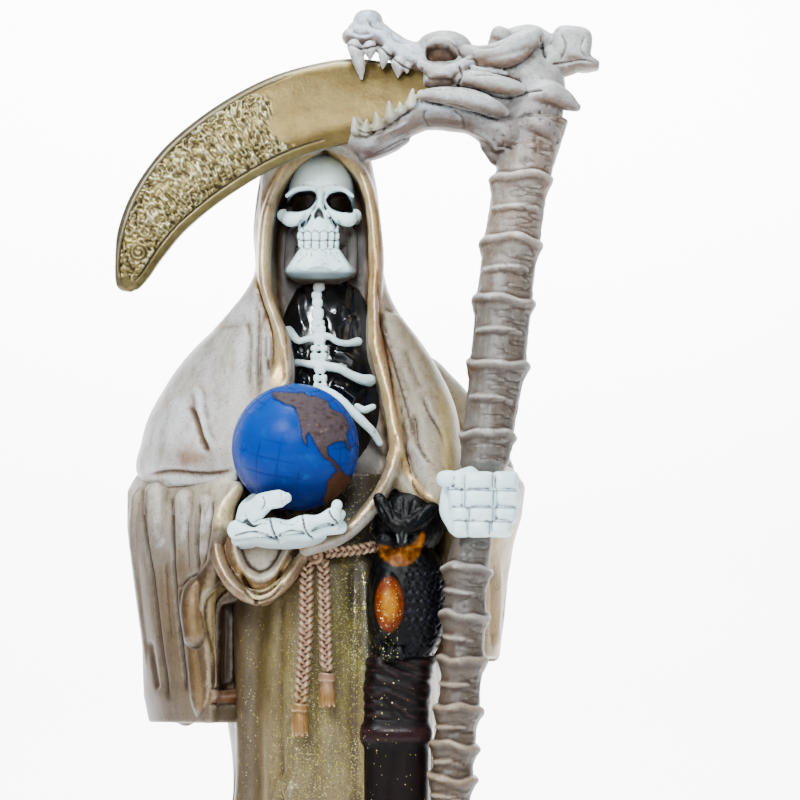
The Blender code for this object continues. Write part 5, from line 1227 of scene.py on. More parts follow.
def make_hand_left():
    clay = Clay()
    clay.tube([(-40, -48, 338, 6.5), (-37, -60, 337, 6.5), (-31, -72, 336.5, 6.2)], 16, 20, wide=1.1,
              across=(0, 0, 1))
    clay.ball((-15, -76, 335), (20, 14, 6.0), sides=30)
    # bones of the first finger, each thicker at its ends
    for (u0, v0, y0, r0), (u1, v1, y1, r1) in (((237, 530, -82, 4.6), (269, 527, -94, 4.2)),
                                               ((273.5, 527, -95, 4.3), (302, 524, -100, 4.0)),
                                              ((306, 523.5, -100, 4.1), (331, 516, -97, 3.5)),
                                               ((333, 515, -96, 3.8), (337, 505, -91, 2.6))):
        middle = ((u0 + u1) / 2, (v0 + v1) / 2 + 1.5, (y0 + y1) / 2, 0.80 * (r0 + r1) / 2)
        clay.tube([(*front(u, v, y), r) for u, v, y, r in ((u0, v0, y0, r0), middle, (u1, v1, y1, r1))], 14, 24,
                  wide=1.0, across=(0, 0, 1))
    # the next fingers under it
    for (u0, v0, y0, r0), (u1, v1, y1, r1) in (((237, 540, -78, 2.8), (274, 539, -89, 2.8)),
                                               ((280, 538.5, -90, 2.9), (309, 536, -95, 2.8)),
                                              ((313, 534, -95, 2.8), (334, 527, -92, 2.4)),
                                               ((336, 525, -90, 2.6), (341, 514, -84, 2.2)),
                                              ((262, 536, -76, 4.0), (340, 527, -80, 3.4))):
        clay.tube([(*front(u, v, y), r) for u, v, y, r in ((u0, v0, y0, r0),
                ((u0 + u1) / 2, (v0 + v1) / 2 - 0.6, (y0 + y1) / 2, 0.85 * r0), (u1, v1, y1, r1))], 12, 20)
    # thumb: the ball of the hand and two bones
    clay.tube([(*front(u, v, y), r) for u, v, y, r in ((246, 517, -82, 4.6), (253, 512, -88, 5.4),
                                                       (262, 505, -93, 4.6))], 16, 20)
    clay.tube([(*front(u, v, y), r) for u, v, y, r in ((262, 503, -94, 4.6), (271, 500, -98, 4.2),
                                                       (281, 498.5, -100.5, 4.0), (286, 498, -100.5, 2.6))], 16, 24)
    clay.tube([(*front(u, v, y), r) for u, v, y, r in ((244, 524, -74, 4.2), (248, 510, -76, 4.6),
                                                       (254, 501, -78, 3.6))], 14, 20)
    skin = clay.skin("hand_left", 0.5, 1)
    for rows, width, depth in (([(270, 518), (272, 529), (275, 536), (279, 543)], 1.1, -1.9),
                               ([(302, 514), (304.6, 528), (308, 534), (313, 539)], 1.1, -1.9),
                               ([(329, 510), (333, 518), (338, 523)], 1.1, -1.8),
                               ([(235, 536), (250, 532), (262, 534), (270, 537), (276, 539)], 1.0, -1.5),
                               ([(279, 535.5), (291, 531), (304, 533)], 1.0, -1.5),
                               ([(243, 521), (255, 526), (266, 522)], 1.6, -0.8),
                               ([(280, 522), (290, 525), (298, 521)], 1.8, -0.5),
                               ([(312, 531), (323, 525), (335, 525)], 1.0, -1.5),
                               ([(244, 515), (250.5, 525), (259, 524), (269, 516), (274, 508)], 1.0, -1.4),
                               ([(262, 496), (264, 504), (262, 510)], 1.0, -0.9)):
        skin.stroke(rows, width, depth, taper=0.05)
    skin.move(skin.normals * (0.14 * noise(skin.points, 3, 95))[:, None])
    hand_paint(skin, 96)
    fronts = skin.seen(0.0)
    for rows, width in (([(270, 518), (272, 529), (275, 536), (279, 543)], 0.7),
                        ([(302, 514), (304.6, 528), (308, 534), (313, 539)], 0.7),
                        ([(329, 511), (333, 518), (338, 523)], 0.7)):
        skin.mix(rgb(24, 26, 26), 0.9 * skin.band(rows, width, 0.7) * fronts)
    for rows in ([(235, 536), (250, 532), (262, 534), (270, 537), (276, 539)], [(279, 535.5), (291, 531), (304, 533)],
                 [(312, 531), (323, 525), (335, 525)]):
        skin.mix(rgb(74, 72, 66), 0.75 * skin.band(rows, 0.4, 1.0) * fronts)
    # the lower edge of the hand greyer and darker behind the thumb: painted shade
    skin.mix(rgb(150, 148, 138), 0.5 * step(536, 541, skin.v))
    skin.mix(rgb(92, 92, 84), 0.65 * skin.area([(244, 497), (252, 493), (262, 494), (258, 503), (248, 508)], 2)
             * step(-90, -84, skin.points[:, 1]))
    skin.finish(MATERIALS["bone"], "figure", "robe", (1.05, 1.2, 1.3))


def make_hand_right():
    clay = Clay()
    clay.ball((77, -78, 349), (17, 14, 15), sides=36)
    rows = ((474, 489.5, (456, 465), (465, 491), (494, 515)), (489.5, 507, (451, 465), (465.5, 493), (494, 517)),
            (507, 521.5, (453.5, 469), (470, 492.5), (493.8, 514)),
            (520.5, 535, (454.6, 467.6), (469, 489), (490.3, 509)))
    for v0, v1, *cells in rows:
        for k, (u0, u1) in enumerate(cells):
            middle, half = (u0 + u1) / 2, (u1 - u0) * 0.243
            y = -95 + 0.010 * (middle - 482) ** 2 * 0.45
            lean = (0.0, 0.0, (middle - 482) * 0.55)
            clay.ball(front(middle, (v0 + v1) / 2, y + 1.0), (half * 1.02, 5.4, (v1 - v0) * 0.242), lean, sides=26,
                      square=3.2)
            clay.ball(front(middle, (v0 + v1) / 2, y + 1.9), (half * 1.2, 4.6, (v1 - v0) * 0.30), lean, sides=20,
                      square=5)
    clay.ball(front(438 + 10, 479, -91), (5.4, 5.0, 4.0), (0, 0, -20), sides=22, square=2.4)
    clay.tube([(*front(u, v, y), r) for u, v, y, r in ((455, 480, -88, 4), (470, 477, -84, 5))], 14, 14)
    clay.tube([(*front(u, v, y), r) for u, v, y, r in ((451, 490, -80, 4.5), (450, 510, -80, 5), (456, 527, -82, 4))],
              14, 20)
    clay.tube([(84, -30, 350, 11), (84, -56, 350, 11), (82, -70, 350, 10)], 18, 14)
    skin = clay.skin("hand_right", 0.55, 1)
    skin.move(skin.normals * (0.14 * noise(skin.points, 3, 98))[:, None])
    hand_paint(skin, 99)
    fronts = skin.seen(0.0)
    for v0, v1, *cells in rows:
        for (_, a), (b, _) in zip(cells, cells[1:]):
            skin.mix(rgb(40, 40, 38), 0.85 * skin.band([((a + b) / 2, v0 + 1), ((a + b) / 2 - 0.4, v1 - 1)], 0.55,
                                                       0.7) * fronts)
    for line in ([(448, 489.6), (480, 490.5), (516, 491)], [(452, 507), (480, 507.8), (516, 508)],
                 [(454, 520.5), (480, 521.5), (512, 522)]):
        skin.mix(rgb(58, 58, 52), 0.8 * skin.band(line, 0.5, 0.9) * fronts)
    skin.finish(MATERIALS["bone"], "figure", "robe", (1.05, 1.2, 1.3))


def make_base():
    clay = Clay()
    loops = []
    for z, inset in ((0.15, 0.6), (1.2, 0), (6, 0), (13.2, 1.0), (17, 1.7), (20.4, 3.0), (22.6, 4.8),
                     (BASE_TOP - 0.2, 7.0)):
        def rough(turn, z=z):
            return 1.1 * math.sin(5 * turn + 0.08 * z) + 0.9 * math.sin(11 * turn + 1.3) - 1.6
        loops.append(oval(z, -97 + inset, 107 - inset, -82 + inset, 70 - inset, 2.9, 144, rough))
    clay.loft(loops)
    skin = clay.skin("base", 1.6, 1)
    side = step(0.9, 0.5, np.abs(skin.normals[:, 2])) * step(1.0, 4.0, skin.points[:, 2])
    push = -0.6 + 0.6 * noise(skin.points * np.array([1, 1, 2.0]), 9, 101)
    skin.move(skin.normals * (push * side)[:, None])
    skin.points[:, 2] = np.clip(skin.points[:, 2], 0.1, None)
    skin.move(np.zeros_like(skin.points))
    skin.colour[:] = rgb(96, 78, 58)
    skin.rough[:] = 0.5
    skin.mix(rgb(150, 126, 90), 0.7 * step(0.0, 0.6, noise(skin.points, 12, 103)))
    wash_shade_and_highlight(skin, 8, 0.9, rgb(44, 34, 26), 0.4, rgb(178, 154, 112), 0.6)
    skin.finish(MATERIALS["base"], "figure", "robe")


def grid_skin(name, rows, close_ends=True):
    """A skin from loops of points, row by row, in millimetres."""
    clay = Clay()
    clay.loft(rows, close_ends)
    return clay.skin(name)


LAND = [(272, 394), (274, 392), (290, 392), (303.6, 392.8), (308, 396), (317.5, 397), (327.7, 401), (330.5, 407.6),
        (336, 410.4), (344.3, 414), (347, 419.6),
        (349, 428), (346.2, 435.4), (348, 443), (350.3, 448), (350.8, 452), (347, 448), (344.3, 442), (336, 442),
        (331.4, 443.7), (327.7, 446.5), (328.6, 455),
        (334, 460), (339.7, 466.8), (341.6, 471.4), (348, 476), (356.4, 478.8), (358, 486), (352, 496.4), (336, 502),
        (325, 506), (323, 498), (325.8, 489),
        (326.8, 480.7), (333, 474), (336.9, 471.4), (331.4, 463), (323, 457.6), (317.5, 448), (311, 437),
        (308.3, 432.6), (306.4, 437), (307.3, 446.5),
        (303.6, 443), (301.8, 434.4), (299, 424), (298.5, 417), (296, 408.5), (291.6, 405.8), (285, 404.8),
        (280.5, 401.6), (274, 399.7)]


def make_globe():
    rows = []
    for lat in np.linspace(-89.3, 89.3, 190):
        lat = math.radians(lat)
        lon = np.linspace(0, 2 * math.pi, 360, endpoint=False)
        rows.append(np.stack([math.cos(lat) * np.cos(lon), math.cos(lat) * np.sin(lon), np.full(360, math.sin(lat))],
                             axis=1) * GLOBE_REACH + GLOBE_CENTRE)
    skin = grid_skin("globe_skin", rows)
    way = (skin.points - GLOBE_CENTRE) / GLOBE_REACH
    wobble = 1.3 * noise(skin.points, 6, 111)
    far = inside_distance(skin.u + wobble, skin.v + 1.3 * noise(skin.points, 6, 112), LAND)
    front_side = skin.facing > 0.02
    behind = 0.32 - noise(skin.points, 34, 114, 4) - 0.25 * way[:, 2] ** 2
    land = np.where(front_side, step(-0.5, 0.9, far), step(0.03, -0.03, behind) * step(0.0, -0.3, skin.facing))
    # the engraved grid: the pole leans toward the viewer and a little right
    spin = np.array(Euler((math.radians(20), math.radians(9), 0)).to_matrix())
    local = way @ spin
    lat, lon = np.degrees(np.arcsin(np.clip(local[:, 2], -1, 1))), np.degrees(np.arctan2(local[:, 1], local[:, 0]))
    reach = np.radians(1) * GLOBE_REACH
    off_lat = np.abs((lat + 7.5) % 15 - 7.5) * reach
    off_lon = np.abs((lon + 10) % 20 - 10) * reach * np.cos(np.radians(lat))
    worn = step(-0.35, 0.25, noise(skin.points, 16, 117))
    lines = np.maximum(np.exp(-((off_lat / 0.32) ** 2)), np.exp(-((off_lon / 0.32) ** 2))
                       * (np.abs(lat) < 76)) * worn * (1 - land)
    push = 0.42 * land * (1 + 0.9 * noise(skin.points, 1.6, 119)) - 0.26 * lines + 0.10 * noise(skin.points, 7,
            121) - 0.15
    skin.move(way * push[:, None])
    skin.colour[:] = rgb(0, 76, 160)
    # the sea lighter up and to the left and darker underneath: painted light and painted shade
    skin.mix(rgb(0, 90, 172), 0.7 * step(-0.2, 0.7, way[:, 2] - 0.3 * way[:, 0]))
    skin.mix(rgb(0, 30, 90), 0.8 * step(-0.2, -0.95, way[:, 2]))
    skin.mix(rgb(0, 108, 186), 0.55 * step(0.3, 0.7, noise(skin.points, 4.5, 123)))
    skin.mix(rgb(0, 44, 110), 0.75 * lines)
    skin.rough[:] = 0.33 + 0.12 * noise(skin.points, 8, 124)
    skin.mix(rgb(88, 80, 82), land)
    skin.mix(rgb(60, 44, 34), 0.75 * land * step(0.0, 0.6, noise(skin.points, 2.0, 125)))
    # the land darker brown underneath: painted shade
    skin.mix(rgb(74, 46, 22), 0.75 * land * step(0.05, -0.45, way[:, 2]))
    skin.mix(rgb(156, 140, 124), 0.7 * land * step(0.35, 0.7, noise(skin.points, 1.5, 126))
             * step(0.5, 0.1, np.abs(way[:, 2] - 0.25)))
    shore = np.exp(-((np.where(front_side, far, 9) / 0.9) ** 2))
    skin.mix(rgb(8, 26, 60), 0.7 * shore)
    skin.set(land, rough=0.72)
    # a pale patch at the top of the globe: painted highlight
    skin.mix(rgb(70, 112, 160), 0.45 * step(0.86, 0.97, way[:, 2]))
    tone = np.array([0.4, 0.72, 0.58]) * (1 - land)[:, None] + land[:, None]
    skin.finish(MATERIALS["globe"], "globe", "globe", tone)


def make_owl():
    clay = Clay()
    clay.ball((43, -60, 342), (17, 15, 16), sides=36)
    clay.ball((42, -57, 306), (19.0, 17, 30), sides=40, square=2.5)
    clay.ball((34, -66, 304), (9, 11, 19), sides=30)
    clay.tube([(*front(u, v, y), r) for u, v, y, r in ((379, 499, -72, 3.0), (386, 512, -75, 3.6),
            (395, 523, -77, 4.0), (404, 527, -78, 4.0), (418, 521, -75, 3.8),
                                                     (430, 510, -71, 3.4), (437, 504, -67, 2.4))], 16, 60)
    clay.tube([(*front(u, v, y), r) for u, v, y, r in ((402, 531, -78, 3.0), (402, 541, -80, 2.2),
                                                       (402, 548, -78, 1.2))], 12, 16)
    for u, v in ((386, 541), (418, 539)):
        clay.ball(front(u, v, -73), (5, 3.2, 4), sides=18)
    for side, u in ((-1, 384), (1, 392), (1, 400)):
        clay.tube([(*front(u, 645, -68), 2.0), (*front(u, 652, -72), 2.4), (*front(u + 1, 657, -72), 1.6)], 10, 12)
    skin = clay.skin("owl", 0.62, 1)
    # rows of feathers
    u, v = skin.u, skin.v
    row, lane = (v - 560) / 9.0, (u - 400) / 7.5
    shift = np.where(np.floor(row) % 2 == 0, 0.0, 0.5)
    cell = lane + shift - np.floor(lane + shift) - 0.5
    edge = row - np.floor(row) - 0.55 * (1 - (2 * cell) ** 2)
    scales = step(0.18, 0.0, np.abs(edge)) * step(550, 575, v) * skin.seen(0.0) * step(404, 408, u)
    skin.move(skin.normals * (-0.9 * scales)[:, None])
    rough = noise(skin.points * np.array([1.6, 1, 0.7]), 2.6, 131)
    skin.move(skin.normals * (0.35 * rough)[:, None])
    skin.colour[:] = rgb(9, 9, 12)
    skin.rough[:] = 0.4
    skin.mix(rgb(28, 30, 48), 0.6 * step(0.1, 0.7, noise(skin.points, 3.5, 133)) * step(560, 590, v))
    wash_shade_and_highlight(skin, 5, 0.8, rgb(3, 3, 4), 0.25, rgb(50, 50, 66), 0.35)
    fronts = skin.seen(0.0, (-1e3, -55))
    for k in range(7):
        angle = -1.15 + 0.38 * k
        skin.stroke([(402 + 20 * math.sin(angle), 528 - 8 * math.cos(angle)),
                     (402 + 33 * math.sin(angle), 520 - 24 * math.cos(angle))], 1.2, -0.5)
    crescent = skin.area([(379, 545), (381, 556), (391, 564), (404, 566), (414, 561), (422, 549), (425, 536),
                          (422, 531), (416, 541), (408, 546), (396, 549), (386, 546)],
                         1.8) * fronts
    feather = 0.5 + 0.5 * np.sin(0.9 * skin.u + 4 * noise(skin.points, 4, 137))
    skin.mix(rgb(158, 104, 16), 0.97 * crescent * (0.5 + 0.5 * feather))
    skin.mix(rgb(206, 152, 50), 0.7 * crescent * step(0.1, 0.6, noise(skin.points, 2.4, 138)))
    across = ((skin.u - 389.3) / 14.5) ** 2 + ((skin.v - 604.5) / 28) ** 2
    spot = step(1.15, 0.75, across) * fronts
    skin.mix(rgb(128, 68, 4), 0.95 * spot)
    skin.mix(rgb(190, 140, 22), 0.8 * step(0.55, 0.0, across) * fronts)
    skin.mix(rgb(84, 40, 6), 0.75 * spot * step(0.15, 0.6, noise(skin.points, 2.2, 139)))
    skin.spark[:] = np.clip(0.10 * step(1.1, 0.5, across) * fronts + 0.12 * step(620, 650, v) * step(410, 390, u), 0,
                            1)
    # two pale strokes beside the beak: painted highlights
    for line in ([(397, 535), (398, 542)], [(406.5, 535), (405, 542)]):
        skin.mix(rgb(176, 180, 178), 0.85 * skin.band(line, 0.7, 0.8) * fronts)
    skin.finish(MATERIALS["owl"], "figure", "robe", (0.7, 0.78, 0.72))


def make_pedestal():
    rows = [(12, 18, 56, -72, -30), (60, 20, 54, -69, -32), (120, 22, 53, -67, -34), (180, 22, 53, -66, -34),
            (214, 22, 53, -66, -34),
            (238, 22, 53, -66, -34), (241, 20, 55, -68, -34), (247, 20, 55, -68, -34), (250, 22, 53, -66, -34),
            (268, 22, 54, -66, -34),
            (280, 23, 56, -65, -34)]
    table = np.array(rows, float)
    loops = []
    for z in np.linspace(12, 280, 110):
        left, right, front_y, back_y = (np.interp(z, table[:, 0], table[:, k]) for k in range(1, 5))
        loops.append(oval(z, left, right, front_y, back_y, 4.0, 64))
    clay = Clay()
    clay.loft(loops)
    skin = clay.skin("pedestal", 1.0, 1)
    x, y, z = skin.points.T
    # bark-like layers at the top, a plain bound cloth below
    layer = noise(np.stack([x * 0.55, y * 0.55, z * 1.7 + 2.6 * np.sin(x / 6) + 0.3 * x], axis=1), 4.0, 141)
    top = step(249, 252, z)
    skin.move(skin.normals * (1.1 * layer * top)[:, None])
    drape = noise(np.stack([x, y, z * 0.14], axis=1), 9, 142)
    skin.move(skin.normals * (0.9 * drape * step(240, 234, z))[:, None])
    skin.stroke([(436, 705), (436, 760), (435, 900)], 1.6, -0.9, facing=-0.5)
    for level in (206, 152, 96, 46):
        off = z - level - 2.5 * np.sin(x / 9 + level)
        skin.move(skin.normals * (0.3 * np.exp(-((off[: len(z)] / 2.6) ** 2)))[:, None])
        x, y, z = skin.points.T
    skin.colour[:] = rgb(30, 22, 23)
    skin.rough[:] = 0.42
    skin.mix(rgb(56, 42, 40), 0.7 * step(0.1, 0.6, noise(skin.points * np.array([1, 1, 2.5]), 5, 144))
             * step(249, 252, z))
    skin.mix(rgb(38, 24, 22), 0.8 * step(238, 230, z))
    skin.mix(rgb(60, 36, 31), 0.5 * step(238, 230, z) * step(0.0, 0.6, noise(skin.points, 14, 146)))
    wash_shade_and_highlight(skin, 5, 0.85, rgb(8, 5, 5), 0.3, rgb(104, 86, 82), 0.5)
    skin.mix(rgb(96, 82, 84), 0.55 * step(240, 242, z) * step(248, 246, z))
    skin.set(step(240, 242, z) * step(248, 246, z), rough=0.18)
    skin.spark[:] = 0.02 * step(60, 20, x)
    skin.finish(MATERIALS["owl"], "figure", "robe", (0.42, 0.30, 0.32))


def plait(clay, path, width, depth, pitch, across=(0, -1, 0)):
    """A flat plait: two rows of slanting grains that meet in the middle like ears of wheat."""
    line = smooth_path([(*p, 0) for p in path], 300)[:, :3]
    length = np.concatenate([[0], np.cumsum(np.linalg.norm(np.diff(line, axis=0), axis=1))])
    clay.tube([(*p, depth * 0.72) for p in line[::12]], 12, 60, wide=width / depth * 0.55, across=(1, 0, 0.2)
              if abs(line[-1, 2] - line[0, 2]) > 20 else (0, 0, 1))
    count = int(length[-1] / pitch)
    for i in range(count):
        for side in (-1, 1):
            at = (i + (0.5 if side > 0 else 0.0) + 0.5) * pitch
            if at > length[-1] - 0.3 * pitch:
                continue
            spot = np.array([np.interp(at, length, line[:, k]) for k in range(3)])
            way = np.array([np.interp(min(at + 0.5, length[-1]), length, line[:, k]) for k in range(3)]) - np.array(
                [np.interp(max(at - 0.5, 0), length, line[:, k]) for k in range(3)])
            way /= np.linalg.norm(way)
            out = np.array(across, float) - way * (way @ np.array(across, float))
            out /= np.linalg.norm(out)
            cross = np.cross(way, out)
            a = spot + cross * side * width * 0.46 - way * pitch * 0.50 + out * depth * 0.25
            b = spot + cross * side * width * 0.06 + way * pitch * 0.42 + out * depth * 0.75
            middle = (a + b) / 2 + out * depth * 0.28 + cross * side * width * 0.05
            clay.tube([(*a, pitch * 0.22), (*middle, pitch * 0.34), (*b, pitch * 0.20)], 8, 10)


def make_rope():
    clay = Clay()
    plait(clay, [front(u, v, y) for u, v, y in ((321, 554, -62.5), (332, 552.4, -62.5), (346, 551, -62.5),
                                                (358, 549.5, -62), (368, 548, -60), (376, 546.5, -54))],
          5.0, 2.6, 3.0)
    plait(clay, [front(u, v, y) for u, v, y in ((309, 556, -62.5), (302, 558, -62), (294, 559, -60),
                                                (284, 560, -56))], 5.0, 2.6, 3.0)
    plait(clay, [front(u, v, y) for u, v, y in ((307, 561, -64.5), (306.6, 580, -66), (306.2, 620, -67.5),
                                                (304, 660, -68), (301.5, 690, -68.5), (300.5, 704, -68.5))],
          6.4, 2.9, 3.3)
    plait(clay, [front(u, v, y) for u, v, y in ((323, 562, -64.5), (324, 580, -65.5), (325, 620, -67),
                                                (326, 650, -67.5), (327, 673, -68))], 5.8, 2.8, 3.2)
    # the ring of the knot and its bead
    knot = front(315.3, 556.2, -66)
    turn = np.linspace(0, 2 * math.pi, 25)
    clay.tube([(knot[0] + 2.8 * math.cos(t), knot[1] - 0.5, knot[2] + 2.8 * math.sin(t), 1.15) for t in turn], 12, 60)
    clay.ball(knot + np.array([0, -0.4, 0]), (1.6, 1.6, 1.6), sides=16)
    clay.ball(knot + np.array([0, 2.0, 0]), (3.6, 2.4, 3.6), sides=20)
    # wraps and tassels
    for u, top, low, y in ((300.3, 705, 734, -69), (327.2, 674.5, 705, -68.5)):
        for k in range(3):
            spot = front(u, top + 2.6 * k, y)
            clay.tube([(*spot + np.array([3.4 * math.cos(t), 2.6 * math.sin(t), 0.25 * math.sin(2 * t)]), 0.75)
                       for t in np.linspace(0, 2 * math.pi, 13)], 8, 30)
        for k in range(15):
            t = 2 * math.pi * k / 15
            x0, y0, z0 = front(u, top + 5, y)
            x1, y1, z1 = front(u + 0.3, low - 1.5 * math.sin(3 * k), y)
            clay.tube([(x0 + 2.3 * math.cos(t), y0 + 1.7 * math.sin(t), z0, 0.75),
                       (x0 + 3.3 * math.cos(t), y0 + 2.3 * math.sin(t), (z0 + z1) / 2, 0.85),
                       (x1 + 3.5 * math.cos(t), y1 + 2.5 * math.sin(t), z1, 0.55)], 7, 12)
        clay.tube([(*front(u, top + 5, y), 2.2), (*front(u, low - 3, y), 3.0)], 10, 10)
    skin = clay.skin("rope", 0.42, 0)
    skin.colour[:] = rgb(168, 136, 112)
    skin.rough[:] = 0.38
    skin.metal[:] = 0.35
    skin.mix(rgb(196, 168, 144), 0.6 * step(0.0, 0.5, noise(skin.points, 4, 151)))
    skin.mix(rgb(156, 122, 76), 0.7 * step(680, 700, skin.v))
    wash_shade_and_highlight(skin, 8, 1.0, rgb(30, 16, 10), 0.26, rgb(246, 222, 196), 0.55)
    wash_shade_and_highlight(skin, 3, 1.0, rgb(30, 16, 10), 0.09)
    skin.finish(MATERIALS["copper"], "figure", "robe", (0.72, 0.8, 0.9))


STAFF = [(108, -66, 540), (105, -66, 530), (101, -67, 518), (97, -69, 506), (94.5, -69, 490), (92, -70, 475),
         (88, -72, 446),
         (85, -74, 415), (80, -76, 382), (76, -77, 350), (70, -75, 320), (69, -74, 298), (68, -73, 278),
         (66, -72, 256),
         (64, -71, 239), (63, -70, 224), (60, -68, 190), (57, -66, 150), (55, -65, 100), (53, -64, 50), (52, -64, 12)]
GRIP_CENTRE, GRIP_HALF = 350, 13


def staff_centre(z):
    rows = np.array(STAFF)[::-1]
    return np.array([np.interp(z, rows[:, 2], rows[:, 0]), np.interp(z, rows[:, 2], rows[:, 1]), z])


def staff_radius(z):
    return np.interp(z, [0, 20, 40, 224, 320, 335, 350, 362, 372, 382, 400, 415, 506, 540],
                     [8.6, 8.6, 9.5, 9.6, 10.0, 9.4, 9.2, 11.0, 11.6, 12.0, 13.0, 13.6, 13.8, 13.8])


def disc_reach(z):
    """How far the discs stand out: a little at the top, more below the hand."""
    return np.interp(z, [330, 370], [2.3, 1.7])


def make_staff():
    """A column of vertebrae: wavy discs with a knob in front, and shorter bars between them."""
    rings = np.array([506, 475, 446, 415, 382, 320, 298, 278, 256, 239, 224] + [208 - 16.5 * i for i in range(11)])
    between = (rings[:-1] + rings[1:]) / 2
    between = between[(between < 340) | (between > 370)]
    sides, heights = 150, np.arange(12.3, 536, 0.66 * FINE)
    turn = np.linspace(0, 2 * math.pi, sides, endpoint=False)
    # 0 faces the viewer, above 0 lies to the right
    front_turn = (turn + math.pi / 2 + math.pi) % (2 * math.pi) - math.pi
    loops, relief, wash, bright = [], [], [], []
    for z in heights:
        base, reach = staff_radius(z), disc_reach(z)
        near, lip_shade, lip_highlight = np.zeros(sides), np.zeros(sides), np.zeros(sides)
        for n, ring in enumerate(rings):
            if abs(ring - z) > 10:
                continue
            # each disc dips to the right and its edge wanders
            waver = 0.9 * np.sin(2 * front_turn + n * 1.7) + 0.5 * np.sin(5 * front_turn
                    + n) - 1.0 * np.sin(front_turn)
            off = z - ring - waver
            lip = reach * np.exp(-(np.maximum(off - 0.6, 0) / 1.0) ** 4 - (np.minimum(off, 0) / 2.0) ** 2)
            lip *= 0.88 + 0.12 * np.sin(3 * front_turn + n)
            flare = 0.45 * reach * np.exp(-(((off + 3.2) / 3.0) ** 2))
            knob_at = -0.12 + 0.35 * math.sin(n * 2.3)
            knob = 1.9 * np.exp(-(((front_turn - knob_at) * base / 2.6) ** 2) - ((z - ring - 0.2) / 2.0) ** 2)
            horn = 0.15 * np.exp(-(((np.abs(front_turn) - 1.45) * base / 3.4) ** 2) - ((off + 0.2) / 2.0) ** 2)
            near = np.maximum(near, lip + flare + horn) + knob
            # dark lines below and above each disc: painted shade; a pale line on the lip and on the knob: painted
            # highlight
            lip_shade += 1.0 * np.exp(-(((off + 2.9) / 1.0) ** 2)) + 0.75 * np.exp(-(((off - 2.4) / 0.75) ** 2))
            lip_highlight += np.exp(-(((off - 0.5) / 0.9) ** 2)) + np.exp(-(((front_turn - knob_at) * base / 2.0) ** 2)
                    - ((z - ring - 0.6) / 1.4) ** 2)
        for n, bar in enumerate(between):
            if abs(bar - z) > 8:
                continue
            centre_turn = -0.15 if z > 360 else -0.5
            span = np.clip(1 - ((front_turn - centre_turn) / 1.0) ** 2, 0, 1)
            back = np.clip(1 - ((np.abs(front_turn) - math.pi) / 1.3) ** 2, 0, 1)
            span = np.maximum(span, 0.8 * back)
            off = z - bar - 0.5 * np.sin(front_turn * 2 + n) + 0.8 * (front_turn - centre_turn) * (span > 0)
            near = np.maximum(near, (1.7 if z > 360 else 2.2) * np.sqrt(span)
                              * np.exp(-((off / (0.9 + 0.7 * span)) ** 2)))
            # the same painted shade and painted highlight at the bars
            lip_shade += 0.85 * np.sqrt(span) * (np.exp(-(((off + 2.2) / 0.8) ** 2))
                                             + 0.6 * np.exp(-(((off - 2.0) / 0.7) ** 2)))
            lip_highlight += 0.9 * np.sqrt(span) * np.exp(-(((off - 0.4) / 0.8) ** 2))
        gap = np.abs(rings - z).min()
        waist = -0.5 * step(3, 7, gap) * (abs(z - GRIP_CENTRE) > 26)
        spot = staff_centre(z)
        at = np.stack([spot[0] + base * np.cos(turn), spot[1] + base * np.sin(turn), np.full(sides, z)], axis=1)
        fibre = noise(at * np.array([1, 1, 0.14]), 2.2, 161)
        sponge = noise(at * np.array([0.55, 0.55, 1.0]), 2.6, 163)
        wavy = (np.maximum(0, 1 - np.abs(noise(at * np.array([0.36, 0.36, 1.0]), 3.4, 165, 2)) * 5)
                * step(1.15, 0.3, np.abs(front_turn - 0.4))
                * step(2.4, 4.6, gap))
        radius = base + near + waist + 0.36 * fibre * step(1.5, 4, gap) + 0.26 * sponge * step(2, 5, gap) - 0.6 * wavy
        hold = abs(z - GRIP_CENTRE)
        if hold < GRIP_HALF + 6:
            share = float(np.clip((hold - GRIP_HALF) / 6, 0, 1))
            radius = (GRIP - 0.35) * (1 - share) + radius * share
        if z < BASE_TOP + 3:
            # the foot stands in its socket
            radius = np.minimum(radius, base + 2.4)
        loops.append(np.stack([spot[0] + radius * np.cos(turn), spot[1] + radius * np.sin(turn), np.full(sides, z)],
                              axis=1))
        relief.append(near)
        # painted shade together with the darker wavy grooves and fibres
        wash.append(np.clip(lip_shade + 0.75 * wavy + 0.25 * np.maximum(-fibre, 0), 0, 1.2))
        bright.append(np.clip(lip_highlight, 0, 1))
    skin = grid_skin("staff", loops)
    relief, wash, bright = np.concatenate(relief), np.concatenate(wash), np.concatenate(bright)
    # the loft may have turned the rows round
    if skin.points[0, 2] > skin.points[-1, 2]:
        relief, wash, bright = (part.reshape(-1, sides)[::-1].ravel() for part in (relief, wash, bright))
    z = skin.points[:, 2]
    skin.colour[:] = rgb(160, 152, 144)
    skin.rough[:] = 0.5
    skin.mix(rgb(182, 178, 172), 0.6 * step(-0.1, 0.6, noise(skin.points * np.array([1, 1, 0.25]), 5, 171)))
    skin.mix(rgb(134, 116, 98), 0.7 * step(0.0, 0.6, noise(skin.points * np.array([1, 1, 0.6]), 7, 172)))
    skin.mix(rgb(138, 120, 100), 0.75 * step(345, 250, z))
    skin.shade(np.interp(z, [0, 60, 300, 430, 520], [0.78, 0.64, 0.50, 0.52, 0.88]))
    skin.mix(rgb(122, 100, 78), 0.6 * step(240, 190, z))
